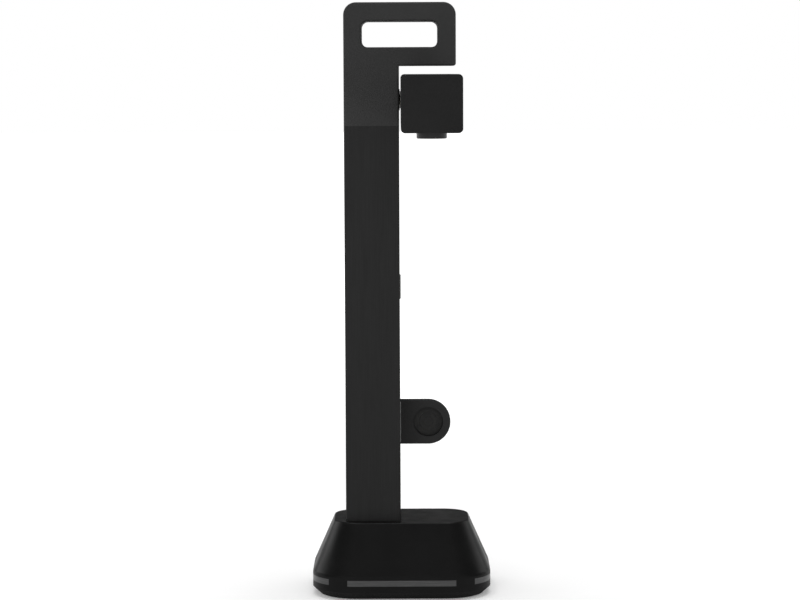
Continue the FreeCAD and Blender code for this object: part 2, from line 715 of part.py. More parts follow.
def cable(name, plane, offset, start_plane, start_offset, start_drawing, points):
    """A round cable: a drawn section at its start, swept along a path of level and upright runs."""
    body = new_body(name)
    section = new_sketch(body, start_plane, [start_drawing], start_offset)

    def draw(sketch):
        places = [vector(*point) for point in points]
        bend = mm.cable_bend.number
        count = len(places)
        ways = [(places[i + 1] - places[i]).normalize() for i in range(count - 1)]
        runs = []
        for i in range(count - 1):
            start = places[i] + ways[i] * (bend if i else 0)
            end = places[i + 1] - ways[i] * (bend if i < count - 2 else 0)
            run = sketch.addGeometry(Part.LineSegment(start, end))
            runs.append(run)
            level = abs(ways[i].x) > abs(ways[i].y)
            hold(sketch, "Horizontal" if level else "Vertical", run)
            if level:
                hold_y(sketch, run, 1, points[i][1])
            else:
                hold_x(sketch, run, 1, points[i][0])
        for i in range(1, count - 1):
            corner_arc(sketch, places[i], ways[i - 1], ways[i], mm.cable_bend, runs[i - 1], runs[i])
        for run, end, point in ((runs[0], 1, points[0]), (runs[-1], 2, points[-1])):
            way = ways[0] if run == runs[0] else ways[-1]
            if abs(way.x) > abs(way.y):
                hold_x(sketch, run, end, point[0])
            else:
                hold_y(sketch, run, end, point[1])

    path = new_sketch(body, plane, [draw], offset)
    doc.recompute()
    pipe = body.newObject("PartDesign::AdditivePipe", f"{name}_pipe")
    pipe.Profile = section
    pipe.Spine = (path, [f"Edge{i}" for i in range(1, len(path.Shape.Edges) + 1)])
    cables.append((pipe, section, path))
    return body


# Base: pad, tray, ballast and shell


def base_inset(height):
    """How far the tray's bevel lies inside the skirt at a height."""
    share = height.number / mm.bevel_height.number
    formula = f"(sizes.bevel_inset * (1 - {height.formula} / sizes.bevel_height))"
    return Size(mm.bevel_inset.number * (1 - share), formula)


post_x = skirt_x - mm.post_inset_width
post_y = skirt_y - mm.post_inset_depth
base_posts = [(-post_x, -post_y), (post_x, -post_y), (post_x, post_y), (-post_x, post_y)]
tray_screw_head = (mm.tray_screw_head, mm.tray_screw_head_height)
tray_screw_seat = tray_top - mm.tray_screw_seat
foot_screw_places = [
    (column_middle_x + mm.foot_post_x * i, column_middle_y + mm.foot_post_y * j)
    for i, j in ((-1, -1), (1, -1), (1, 1), (-1, 1))
]


def skirt_outline(inset):
    """The skirt's rounded rectangle, drawn in by an inset."""
    half_x = skirt_x - inset
    half_y = skirt_y - inset
    return rectangle(-half_x, half_x, -half_y, half_y, mm.base_corner - inset)


def make_pad():
    body = new_body("anti_slip_pad")
    inset = base_inset(mm.pad_thickness) + mm.pad_margin
    slab(body, "XY", ZERO, mm.pad_thickness, [skirt_outline(inset)])
    part("anti_slip_pad", body)


def make_tray():
    body = new_body("base_tray")
    inset = base_inset(mm.pad_thickness)
    bottom = (mm.pad_thickness, skirt_x - inset, skirt_y - inset, mm.base_corner - inset)
    rim = (mm.bevel_height, skirt_x, skirt_y, mm.base_corner)
    loft(body, [bottom, rim])
    lip_out = mm.base_wall + mm.slip_gap
    lip_in = lip_out + mm.lip_thickness
    lip_top = mm.bevel_height + mm.lip_height
    slab(body, "XY", mm.bevel_height, lip_top, [skirt_outline(lip_out)])
    cut(body, "XY", tray_top, lip_top, [skirt_outline(lip_in)])
    posts = [circle(x, y, mm.board_post_radius) for x, y in board_places]
    slab(body, "XY", tray_top, main_board_low, posts)
    pilots = [circle(x, y, mm.board_screw_radius + mm.press_gap) for x, y in board_places]
    cut(body, "XY", mm.pad_thickness + mm.board_pilot_floor, main_board_low, pilots)
    base_ways = [circle(x, y, mm.tray_screw_radius + mm.slip_gap) for x, y in base_posts]
    foot_ways = [circle(x, y, mm.foot_screw_radius + mm.slip_gap) for x, y in foot_screw_places]
    cut(body, "XY", mm.pad_thickness, tray_top, base_ways + foot_ways)
    head = mm.tray_screw_head + mm.slip_gap
    recesses = [circle(x, y, head) for x, y in base_posts + foot_screw_places]
    cut(body, "XY", mm.pad_thickness, tray_screw_seat, recesses)
    part("base_tray", body)
    seats = [(x, y, tray_screw_seat) for x, y in base_posts]
    screws("base_tray_screws", "Z", seats, 1, tray_screw_head, mm.tray_screw_radius, mm.tray_screw_length)


def make_ballast():
    body = new_body("ballast_plate")
    left = mm.ballast_margin - skirt_x
    depth = skirt_y - mm.ballast_margin_depth
    right = column_right + mm.ballast_right
    corner = mm.ballast_corner
    drawing = outline([
        (left, -depth, corner),
        (right, -depth, None),
        (right, depth, None),
        (left, depth, corner),
    ])
    slab(body, "XY", tray_top, ballast_top, [drawing])
    scallops = [circle(x, y, mm.ballast_scallop) for x, y in (base_posts[0], base_posts[3])]
    cut(body, "XY", tray_top, ballast_top, scallops)
    ways = [circle(x, y, mm.foot_screw_radius + mm.slip_gap) for x, y in foot_screw_places]
    cut(body, "XY", tray_top, ballast_top, ways)
    part("ballast_plate", body)


def make_trim_ring(name, outward, inward, spare):
    """A ring in the skirt at the height of the trim strips."""
    body = new_body(name)
    low = mm.trim_bottom - spare
    high = mm.trim_bottom + mm.trim_height + spare
    slab(body, "XY", low, high, [skirt_outline(-outward), skirt_outline(mm.trim_depth + inward)])
    return body


def trim_boxes(prefix, spare):
    """The front, left and right stretches of the trim ring, as boxes."""
    low = mm.trim_bottom - mm.trim_height
    high = mm.trim_bottom + mm.trim_height * 2
    beyond = skirt_x + mm.trim_height
    deep = skirt_y + mm.trim_height
    front_half = mm.front_trim_width / 2 + spare
    side_start = mm.side_trim_start - spare
    stretch_z = (low, high)
    front = box(f"{prefix}_front", (-front_half, front_half), (-deep, ZERO), stretch_z)
    left = box(f"{prefix}_left", (-beyond, -side_start), (-deep, deep), stretch_z)
    right = box(f"{prefix}_right", (side_start, beyond), (-deep, deep), stretch_z)
    return front, left, right


def make_trim():
    ring = make_trim_ring("trim_ring", ZERO, ZERO, ZERO)
    names = ("front_trim_strip", "left_trim_strip", "right_trim_strip")
    for name, stretch in zip(names, trim_boxes("trim_stretch", ZERO)):
        part(name, overlap(name, ring, stretch))


def slope_level(height, inset=ZERO):
    """The slopes' outline at a height, drawn in by an inset: (height, half width, half depth, radius)."""
    number = (height - mm.knee_height).number / (mm.base_height - mm.knee_height).number
    share = f"(({height.formula} - sizes.knee_height) / (sizes.base_height - sizes.knee_height))"

    def between(low, high):
        change = high - low
        formula = f"({low.formula} + {change.formula} * {share})"
        return Size(low.number + change.number * number, formula) - inset

    half_x = between(skirt_x, mm.base_top_width / 2)
    half_y = between(skirt_y, mm.base_top_depth / 2)
    return height, half_x, half_y, between(mm.base_corner, mm.base_top_corner)


def make_shell():
    body = new_body("base_shell_body")
    half_blend = mm.knee_blend / 2
    edge = mm.base_top_edge
    top = mm.base_height
    low = (mm.bevel_height, skirt_x, skirt_y, mm.base_corner)
    knee = (mm.knee_height - half_blend, skirt_x, skirt_y, mm.base_corner)
    slopes = [slope_level(mm.knee_height + half_blend), slope_level(top - edge * 0.58)]
    top_x = mm.base_top_width / 2
    top_y = mm.base_top_depth / 2
    rounding = [
        (top - edge * drop, top_x - edge * inset, top_y - edge * inset, mm.base_top_corner - edge * inset)
        for drop, inset in ((0.23, 0.0), (0.06, 0.29), (0.0, 0.63))
    ]
    loft(body, [low, knee] + slopes + rounding)
    wall = mm.base_wall
    ceiling = top - wall
    inner_low = (mm.bevel_height, skirt_x - wall, skirt_y - wall, mm.base_corner - wall)
    inner_knee = (mm.knee_height, skirt_x - wall, skirt_y - wall, mm.base_corner - wall)
    loft(body, [inner_low, inner_knee, slope_level(ceiling, wall)], remove=True)
    posts = [circle(x, y, mm.post_radius) for x, y in base_posts]
    slab(body, "XY", tray_top, mm.post_top, posts)
    pilots = [circle(x, y, mm.tray_screw_radius + mm.press_gap) for x, y in base_posts]
    cut(body, "XY", tray_top, mm.post_top - mm.base_wall * 2, pilots)
    gap = mm.slip_gap
    way = rectangle(
        column_left - gap, column_right + gap, column_front - gap, column_back + gap, mm.column_edge
    )
    cut(body, "XY", ceiling - wall, mm.base_height, [way])
    half = mm.socket_width / 2 + mm.socket_gap
    low = main_board_top - mm.socket_gap
    high = main_board_top + mm.socket_height + mm.socket_gap
    mouth = rectangle(socket_x - half, socket_x + half, low, high, mm.socket_height / 2)
    cut(body, "XZ", skirt_y - wall * 2, skirt_y + wall, [mouth])
    ring = make_trim_ring("trim_recess_ring", mm.trim_depth, mm.press_gap, mm.press_gap)
    recesses = [
        overlap(f"trim_recess_{i}", ring, stretch)
        for i, stretch in enumerate(trim_boxes("trim_recess_stretch", mm.press_gap))
    ]
    part("base_shell", without("base_shell", body, joined("trim_recesses", recesses)))


# Main board and its socket

board_left = main_board_left + mm.board_post_inset
board_right = main_board_right - mm.board_post_inset
board_front = main_board_front + mm.board_post_inset
board_back = main_board_back - mm.board_post_inset - mm.socket_length
board_places = [
    (board_left, board_front),
    (board_right, board_front),
    (board_right, board_back),
    (board_left, board_back),
]


def make_main_board():
    body = new_body("main_board_plate")
    corner = mm.board_post_inset / 2
    plate = rectangle(main_board_left, main_board_right, main_board_front, main_board_back, corner)
    slab(body, "XY", main_board_low, main_board_top, [plate])
    ways = [circle(x, y, mm.board_screw_radius + mm.slip_gap) for x, y in board_places]
    cut(body, "XY", main_board_low, main_board_top, ways)
    middle_x = (main_board_left + main_board_right) / 2
    middle_y = (main_board_front + main_board_back) / 2
    chips = []
    chip_z = (main_board_top, main_board_top + mm.chip_thickness)
    kinds = (("processor", -mm.processor_y, mm.processor_side), ("memory", mm.memory_y, mm.memory_side))
    for name, y, side in kinds:
        x = middle_x + mm.chip_middle_x
        y = middle_y + y
        half = side / 2
        chips.append(box(name, (x - half, x + half), (y - half, y + half), chip_z))
    part("main_board", joined("main_board", [body] + chips))
    seats = [(x, y, main_board_top) for x, y in board_places]
    head = (mm.board_screw_head, mm.board_screw_head_height)
    screws("main_board_screws", "Z", seats, -1, head, mm.board_screw_radius, mm.board_screw_length)


def make_socket():
    body = new_body("usb_socket")
    half = mm.socket_width / 2
    low = main_board_top
    high = low + mm.socket_height
    middle = (low + high) / 2
    mouth_end = skirt_y - mm.socket_recess
    back = mouth_end - mm.socket_length
    outside = rectangle(socket_x - half, socket_x + half, low, high, mm.socket_corner)
    slab(body, "XZ", back, mouth_end, [outside])
    wall = mm.socket_wall
    left = socket_x - half + wall
    right = socket_x + half - wall
    inside = rectangle(left, right, low + wall, high - wall, mm.socket_corner - wall)
    cut(body, "XZ", back + mm.socket_back, mouth_end, [inside])
    blade_x = mm.socket_blade_width / 2
    blade_z = mm.socket_blade_thickness / 2
    blade = rectangle(socket_x - blade_x, socket_x + blade_x, middle - blade_z, middle + blade_z)
    slab(body, "XZ", back + mm.socket_back / 2, mouth_end - mm.socket_blade_recess, [blade])
    part("usb_socket", body)


def make_header():
    half = mm.header_width / 2
    across = (header_x - half, header_x + half)
    part("cable_header", box("cable_header", across, (-half, half), (main_board_top, header_top)))


header_top = main_board_top + mm.header_height


# Column: foot, tube and what is inside it


def make_foot():
    body = new_body("column_foot")
    margin = mm.foot_flange_margin
    right = column_right + mm.ballast_right
    left = column_left - margin
    flange = rectangle(left, right, column_front - margin, column_back + margin, mm.column_edge)
    slab(body, "XY", ballast_top, foot_top, [flange])
    gap = mm.slip_gap
    plug_top = foot_top + mm.foot_plug_height
    plug = rectangle(
        inside_left + gap, inside_right - gap, inside_front + gap, inside_back - gap, mm.column_edge
    )
    slab(body, "XY", foot_top, plug_top, [plug])
    wall = mm.foot_plug_wall
    hollow = rectangle(inside_left + wall, inside_right - wall, inside_front + wall, inside_back - wall)
    cut(body, "XY", foot_top, plug_top, [hollow])
    post_top = foot_top + mm.foot_post_height
    slab(body, "XY", foot_top, post_top, [circle(x, y, mm.foot_post_radius) for x, y in foot_screw_places])
    pilots = [circle(x, y, mm.foot_screw_radius + mm.press_gap) for x, y in foot_screw_places]
    cut(body, "XY", ballast_top, post_top, pilots)
    half = mm.cable_window / 2
    window = rectangle(-half, half, foot_top, mm.cable_window_top)
    cut(body, "YZ", inside_right - wall * 1.5, inside_right, [window])
    column_pilots = [circle(x, z, mm.back_screw_radius + mm.press_gap) for x, y, z in column_screw_seats]
    cut(body, "XZ", inside_back - wall * 1.5, inside_back, column_pilots)
    part("column_foot", body)
    seats = [(x, y, tray_screw_seat) for x, y in foot_screw_places]
    screws("column_foot_screws", "Z", seats, 1, tray_screw_head, mm.foot_screw_radius, mm.foot_screw_length)
    shank = mm.back_screw_radius
    screws("column_screws", "Y", column_screw_seats, -1, back_screw_head, shank, mm.column_screw_length)


back_screw_head = (mm.back_screw_head, mm.back_screw_head_height)
back_screw_x = [column_middle_x - mm.back_screw_spread, column_middle_x + mm.back_screw_spread]
column_screw_z = foot_top + mm.column_screw_height
column_screw_seats = [(x, column_back, column_screw_z) for x in back_screw_x]
skin_seat = column_back - mm.back_screw_head_height
bracket_low = seam_height - mm.bracket_below
bracket_high = pivot_height + mm.bracket_above
bracket_column_places = [(x, seam_height - mm.bracket_screw_low) for x in back_screw_x]
bracket_handle_places = [(x, pivot_height + mm.bracket_screw_high) for x in back_screw_x]
rest_screw_x = inside_right - mm.rest_screw_inset
rest_screw_places = [(rest_screw_x, rest_middle + mm.rest_screw_spread * side) for side in (-1, 1)]


def back_screw_holes(body, places):
    """Recessed screw holes through the back wall of the column or the handle."""
    ways = [circle(x, z, mm.back_screw_radius + mm.slip_gap) for x, z in places]
    cut(body, "XZ", inside_back, column_back, ways)
    recesses = [circle(x, z, mm.back_screw_head + mm.slip_gap) for x, z in places]
    cut(body, "XZ", skin_seat, column_back, recesses)


def make_tube():
    body = new_body("column_tube")
    outer = rectangle(column_left, column_right, column_front, column_back, mm.column_edge)
    inner = rectangle(inside_left, inside_right, inside_front, inside_back)
    slab(body, "XY", foot_top, seam_height, [outer, inner])
    half = mm.cable_window / 2
    notch = rectangle(-half, half, foot_top, mm.cable_window_top)
    cut(body, "YZ", inside_right, column_right, [notch])
    ways = [circle(x, z, mm.back_screw_radius + mm.slip_gap) for x, y, z in column_screw_seats]
    cut(body, "XZ", inside_back, column_back, ways)
    back_screw_holes(body, bracket_column_places + rest_screw_places)
    gap = mm.slip_gap
    tongue_half = mm.rest_tongue_height / 2 + gap
    slot = rectangle(rest_front - gap, inside_back, rest_middle - tongue_half, rest_middle + tongue_half)
    cut(body, "YZ", inside_right, column_right, [slot])
    hole = pill(ZERO, mm.button_height, mm.button_length / 2 + gap, mm.button_width / 2 + gap)
    cut(body, "YZ", inside_right, column_right, [hole])
    part("column_tube", body)


def make_cable():
    """From the pivot shaft's end down the column, out at its foot and to the main board."""
    start = shaft_end - mm.cable_end_gap
    section = circle(ZERO, pivot_height, mm.cable_radius)
    points = [
        (start, pivot_height),
        (cable_x, pivot_height),
        (cable_x, mm.cable_cross),
        (header_x, mm.cable_cross),
        (header_x, header_top),
    ]
    body = cable("column_cable_run", "XZ", ZERO, "YZ", start, section, points)
    lead = rod("button_lead", "X", (ZERO, ZERO, lead_z), cable_x, plug_back, mm.lead_radius)
    part("column_cable", joined("column_cable", [body, lead]))


# Push button on the column, with its switch

board_front_x = frame_back
board_back_x = frame_back - mm.board_thickness
plug_back = board_back_x - mm.button_plug_height
lead_z = mm.button_height - mm.button_plug_drop
switch_front = frame_back + mm.switch_height
frame_half_y = mm.button_frame_width / 2
frame_half_z = mm.button_frame_height / 2
button_screw_z = [mm.button_height - mm.button_screw_spread, mm.button_height + mm.button_screw_spread]
small_screw_head = (mm.small_screw_head, mm.small_screw_head_height)


def make_button():
    body = new_body("light_button")
    half_length = mm.button_length / 2
    radius = mm.button_width / 2
    flange = mm.button_flange
    flange_front = flange_back + mm.button_flange_thickness
    slab(body, "YZ", flange_front, button_face, [pill(ZERO, mm.button_height, half_length, radius)])
    plate = pill(ZERO, mm.button_height, half_length + flange, radius + flange)
    slab(body, "YZ", flange_back, flange_front, [plate])
    rounded(body, mm.button_edge, lambda edge: lies_at(edge, "x", button_face))
    part("light_button", body)
    place = (ZERO, ZERO, mm.button_height)
    end = flange_back - mm.plunger_length
    part("switch_plunger", rod("switch_plunger", "X", place, end, flange_back, mm.plunger_radius))


def make_button_frame():
    body = new_body("button_frame")
    z = mm.button_height
    block = rectangle(-frame_half_y, frame_half_y, z - frame_half_z, z + frame_half_z)
    slab(body, "YZ", frame_back, inside_right, [block])
    grow = mm.button_flange + mm.button_window_margin
    half_y = mm.button_width / 2 + grow
    half_z = mm.button_length / 2 + grow
    window = rectangle(-half_y, half_y, z - half_z, z + half_z)
    cut(body, "YZ", frame_back, inside_right, [window])
    pilots = [circle(ZERO, place, mm.small_screw_radius + mm.press_gap) for place in button_screw_z]
    cut(body, "YZ", frame_back, frame_back + mm.button_pilot_depth, pilots)
    part("button_frame", body)
    plate = new_body("button_board_plate")
    block = rectangle(-frame_half_y, frame_half_y, z - frame_half_z, z + frame_half_z)
    slab(plate, "YZ", board_back_x, board_front_x, [block])
    ways = [circle(ZERO, place, mm.small_screw_radius + mm.slip_gap) for place in button_screw_z]
    cut(plate, "YZ", board_back_x, board_front_x, ways)
    half = mm.button_plug_side / 2
    plug = box("button_plug", (plug_back, board_back_x), (-half, half), (lead_z - half, lead_z + half))
    part("button_board", joined("button_board", [plate, plug]))
    seats = [(board_back_x, ZERO, place) for place in button_screw_z]
    shank = mm.small_screw_radius
    screws("button_board_screws", "X", seats, 1, small_screw_head, shank, mm.button_screw_length)


def make_switch():
    body = new_body("tact_switch")
    half = mm.switch_side / 2
    z = mm.button_height
    slab(body, "YZ", frame_back, switch_front, [rectangle(-half, half, z - half, z + half)])
    depth = mm.plunger_length + mm.button_travel
    clear = circle(ZERO, z, mm.plunger_radius + mm.slip_gap)
    cut(body, "YZ", flange_back - depth - mm.slip_gap, switch_front, [clear])
    part("tact_switch", body)


# Lens rest on the column's back


def make_rest():
    body = new_body("lens_rest")
    half = mm.rest_height / 2
    plate = tongue(column_right, arm_middle, rest_middle - half, rest_middle + half)
    slab(body, "XZ", rest_front, column_back, [plate])
    rounded(body, mm.rest_edge, on_rest_front)
    dish_radius = mm.lens_ring_radius + mm.dish_side_gap
    cut(body, "XZ", rest_front, dish_floor, [circle(arm_middle, rest_middle, dish_radius)])
    tongue_half = mm.rest_tongue_height / 2
    inner_end = inside_right - mm.rest_tongue_reach
    strip = rectangle(inner_end, column_right, rest_middle - tongue_half, rest_middle + tongue_half)
    slab(body, "XZ", rest_front, inside_back, [strip])
    pilots = [circle(x, z, mm.back_screw_radius + mm.press_gap) for x, z in rest_screw_places]
    cut(body, "XZ", rest_front, inside_back, pilots)
    part("lens_rest", body)
    pad_radius = dish_radius - mm.slip_gap
    place = (arm_middle, ZERO, rest_middle)
    pad_low = dish_floor - mm.rest_pad_thickness
    part("lens_rest_pad", rod("lens_rest_pad", "Y", place, pad_low, dish_floor, pad_radius))
    seats = [(x, skin_seat, z) for x, z in rest_screw_places]
    screws("lens_rest_screws", "Y", seats, -1, back_screw_head, mm.back_screw_radius, mm.rest_screw_length)


def on_rest_front(edge):
    """The front edges of the rest, but for the one on the column."""
    return lies_at(edge, "y", rest_front) and not lies_at(edge, "x", column_right)


# Handle: two shells that close the column's top


def handle_outline(inset, seam):
    """The handle's outline, drawn in by an inset, down to the seam or a plane above it."""
    corner = mm.handle_corner - inset
    small = (mm.flag_corner - inset) if mm.flag_corner.number > as_size(inset).number else None
    return outline(
        [
            (column_left + inset, seam, None),
            (column_right - inset, seam, None),
            (column_right - inset, flag_low + inset, None),
            (flag_right - inset, flag_low + inset, small),
            (flag_right - inset, mm.total_height - inset, corner),
            (column_left + inset, mm.total_height - inset, corner),
        ]
    )


def slot_outline(outset):
    half = mm.slot_width / 2 + outset
    half_z = mm.slot_height / 2 + outset
    return rectangle(-half, half, slot_middle - half_z, slot_middle + half_z, mm.slot_corner + outset)


post_z_low = (flag_low + slot_middle - mm.slot_height / 2) / 2
post_z_high = (mm.total_height + slot_middle + mm.slot_height / 2) / 2
handle_posts = [(mm.handle_post_spread * side, z) for side in (-1, 1) for z in (post_z_low, post_z_high)]
handle_post_radius = (mm.flag_height - mm.slot_height) / 4 - mm.column_wall + mm.handle_post_bite
handle_screw_head = (mm.handle_screw_head, mm.handle_screw_head_height)
bush_hole = circle(ZERO, pivot_height, mm.bush_radius + mm.slip_gap)


def make_handle_shell(name, low, high, face):
    """One half of the handle, from the parting plane out to its flat face."""
    body = new_body(name)
    slab(body, "XZ", low, high, [handle_outline(ZERO, seam_height), slot_outline(ZERO)])

    def lies_in(plane):
        return lambda edge: lies_at(edge, "y", plane) and not lies_at(edge, "z", seam_height)

    rounded(body, mm.column_edge, lies_in(face))
    rounded(body, mm.parting_edge, lies_in(ZERO))
    wall = mm.column_wall
    hollow = [handle_outline(wall, seam_height), slot_outline(wall)]
    inner_low, inner_high = (low + wall, high) if face is low else (low, high - wall)
    cut(body, "XZ", inner_low, inner_high, hollow)
    posts = [circle(x, z, handle_post_radius) for x, z in handle_posts]
    slab(body, "XZ", inner_low, inner_high, posts)
    return body


def make_handle():
    front = make_handle_shell("handle_front_shell", column_front, ZERO, column_front)
    pilots = [circle(x, z, mm.handle_screw_radius + mm.press_gap) for x, z in handle_posts]
    cut(front, "XZ", column_front / 2, ZERO, pilots)
    lip_left = inside_left + mm.column_wall
    lip_right = inside_right - mm.bracket_thickness - mm.column_wall
    lip_back = inside_front + mm.slip_gap + mm.handle_lip_thickness
    lip_top = seam_height + mm.lip_root
    root = rectangle(lip_left, lip_right, seam_height, lip_top)
    slab(front, "XZ", inside_front - mm.slip_gap, lip_back, [root])
    lip = rectangle(lip_left, lip_right, seam_height - mm.lip_reach, lip_top)
    slab(front, "XZ", inside_front + mm.slip_gap, lip_back, [lip])
    cut(front, "YZ", inside_right - mm.slip_gap, column_right, [bush_hole])
    part("handle_front_shell", front)

    rear = make_handle_shell("handle_rear_shell", ZERO, column_back, column_back)
    ways = [circle(x, z, mm.handle_screw_radius + mm.slip_gap) for x, z in handle_posts]
    cut(rear, "XZ", ZERO, column_back, ways)
    access = [circle(x, z, mm.handle_screw_head + mm.slip_gap) for x, z in handle_posts]
    cut(rear, "XZ", mm.handle_screw_seat, column_back, access)
    back_screw_holes(rear, bracket_handle_places)
    cut(rear, "YZ", inside_right - mm.slip_gap, column_right, [bush_hole])
    part("handle_rear_shell", rear)
    seats = [(x, mm.handle_screw_seat, z) for x, z in handle_posts]
    shank = mm.handle_screw_radius
    screws("handle_screws", "Y", seats, -1, handle_screw_head, shank, mm.handle_screw_length)


# Hinge: bracket, bush, shaft, washers and nut


def make_bracket():
    body = new_body("hinge_bracket")
    thick = mm.bracket_thickness
    side = rectangle(inside_right - thick, inside_right, -mm.bracket_front, inside_back)
    slab(body, "XY", bracket_low, bracket_high, [side])
    back = rectangle(inside_left + mm.column_wall, inside_right - thick / 2, inside_back - thick, inside_back)
    slab(body, "XY", bracket_low, bracket_high, [back])
    hole = circle(ZERO, pivot_height, mm.bush_radius + mm.press_gap)
    cut(body, "YZ", inside_right - thick * 2, inside_right, [hole])
    places = bracket_column_places + bracket_handle_places
    pilots = [circle(x, z, mm.back_screw_radius + mm.press_gap) for x, z in places]
    cut(body, "XZ", inside_back - thick * 2, inside_back, pilots)
    part("hinge_bracket", body)
    seats = [(x, skin_seat, z) for x, z in places]
    shank = mm.back_screw_radius
    screws("hinge_bracket_screws", "Y", seats, -1, back_screw_head, shank, mm.bracket_screw_length)


def pivot_ring(name, left, right, inner, outer):
    """A plain ring about the pivot's axis."""
    profile = [(left, inner), (right, inner), (right, outer), (left, outer)]
    return part(name, turned(name, profile, "X", z=pivot_height))


def make_pivot():
    bore = mm.shaft_radius + mm.running_gap
    bush = [
        (bush_end, bore),
        (collar_face, bore),
        (collar_face, mm.collar_radius),
        (column_right, mm.collar_radius),
        (column_right, mm.bush_radius),
        (bush_end, mm.bush_radius),
    ]
    part("pivot_bush", turned("pivot_bush", bush, "X", z=pivot_height))
    flange_left = arm_left + mm.arm_wall
    flange_right = flange_left + mm.shaft_flange
    shaft = [
        (shaft_end, mm.shaft_bore),
        (flange_right, mm.shaft_bore),
        (flange_right, mm.shaft_flange_radius),
        (flange_left, mm.shaft_flange_radius),
        (flange_left, mm.shaft_radius),
        (shaft_end, mm.shaft_radius),
    ]
    body = turned("pivot_shaft", shaft, "X", z=pivot_height)
    holes = [circle(y, z, mm.hub_screw_radius + mm.slip_gap) for y, z in hub_places]
    cut(body, "YZ", flange_left, flange_right, holes)
    part("pivot_shaft", body)
    snug = mm.shaft_radius + mm.press_gap
    pivot_ring("thrust_washer", collar_face + mm.running_gap, arm_left, snug, mm.thrust_radius)
    washer_start = bush_end - mm.running_gap
    pivot_ring("spring_washer", washer_end, washer_start, snug, mm.thrust_radius)
    axis = (ZERO, ZERO, pivot_height)
    blank = hexagon("nut_blank", "X", axis, shaft_end, washer_end, mm.nut_radius)
    bore_rod = rod("nut_bore", "X", axis, shaft_end - 1, washer_end + 1, snug)
    part("pivot_nut", without("pivot_nut", blank, bore_rod))
    seats = [(flange_right, y, z) for y, z in hub_places]
    head = (mm.hub_screw_head, mm.hub_screw_head_height)
    screws("hub_screws", "X", seats, -1, head, mm.hub_screw_radius, mm.hub_screw_length)


hub_ways = [(math.cos(math.radians(angle)), math.sin(math.radians(angle))) for angle in (30, 150, 270)]
hub_places = [(mm.hub_screw_circle * y, pivot_height + mm.hub_screw_circle * z) for y, z in hub_ways]


# Camera arm

cover_edge_left = arm_left + mm.arm_wall + mm.arm_ledge
cover_edge_right = arm_right - mm.arm_wall - mm.arm_ledge
cover_start = arm_tip + mm.cover_front
cover_end = -mm.cover_rear
cover_screw_places = [
    (arm_middle + mm.cover_post_spread * side, -reach)
    for side in (-1, 1)
    for reach in (mm.cover_post_front, mm.cover_post_rear)
]
cover_screw_head = (mm.cover_screw_head, mm.cover_screw_head_height)
cover_screw_seat = arm_low + mm.cover_screw_head_height
camera_places = [
    (arm_middle + mm.camera_post_spread * i, lens_y + mm.camera_post_spread * j)
    for i, j in ((-1, -1), (1, -1), (1, 1), (-1, 1))
]
lamp_places = [(arm_middle, lamp_y - mm.lamp_post_spread), (arm_middle, lamp_y + mm.lamp_post_spread)]
lamp_board_low = cover_top + mm.lamp_board_lift
lamp_board_top = lamp_board_low + mm.board_thickness


def make_arm_shell():
    body = new_body("arm_shell")
    slab(body, "YZ", arm_left, arm_right, [tongue(arm_tip, ZERO, arm_low, arm_high)])

    def along_side(edge):
        on_side = lies_at(edge, "x", arm_left) or lies_at(edge, "x", arm_right)
        return on_side and not lies_at(edge, "y", arm_tip)

    rounded(body, mm.arm_edge, along_side)
    rounded(body, mm.arm_end_edge, lambda edge: lies_at(edge, "y", arm_tip))
    wall = mm.arm_wall
    inside_z = (arm_low + wall, arm_high - wall)
    cut(body, "YZ", arm_left + wall, arm_right - wall, [tongue(arm_tip + wall, ZERO, *inside_z)])
    opening = rectangle(cover_edge_left, cover_edge_right, cover_start, cover_end)
    cut(body, "XY", arm_low, cover_top, [opening])
    posts = [circle(x, y, mm.cover_post_radius) for x, y in cover_screw_places]
    slab(body, "XY", cover_top, arm_high - wall, posts)
    pilots = [circle(x, y, mm.cover_screw_radius + mm.press_gap) for x, y in cover_screw_places]
    cut(body, "XY", cover_top, cover_top + mm.cover_pilot_depth, pilots)
    posts = [circle(x, y, mm.camera_post_radius) for x, y in camera_places]
    slab(body, "XY", camera_board_top, arm_high - wall, posts)
    pilots = [circle(x, y, mm.small_screw_radius + mm.press_gap) for x, y in camera_places]
    cut(body, "XY", camera_board_top, camera_board_top + mm.camera_screw_length, pilots)
    half = mm.rib_width / 2
    for place in (mm.rib_front, mm.rib_rear):
        rib = rectangle(arm_middle - half, arm_middle + half, -place, mm.rib_thickness - place)
        slab(body, "XY", pivot_height - mm.cable_radius, arm_high - wall, [rib])
    notch = mm.cable_radius + mm.slip_gap
    way = rectangle(arm_middle - notch, arm_middle + notch, pivot_height - notch, pivot_height + notch)
    cut(body, "XZ", -mm.rib_front, mm.rib_thickness - mm.rib_rear, [way])
    shaft_way = circle(ZERO, pivot_height, mm.shaft_radius + mm.slip_gap)
    cut(body, "YZ", arm_left, arm_left + wall, [shaft_way])
    hub_pilots = [circle(y, z, mm.hub_screw_radius + mm.press_gap) for y, z in hub_places]
    cut(body, "YZ", arm_left + mm.hub_pilot_floor, arm_left + wall, hub_pilots)
    part("arm_shell", body)


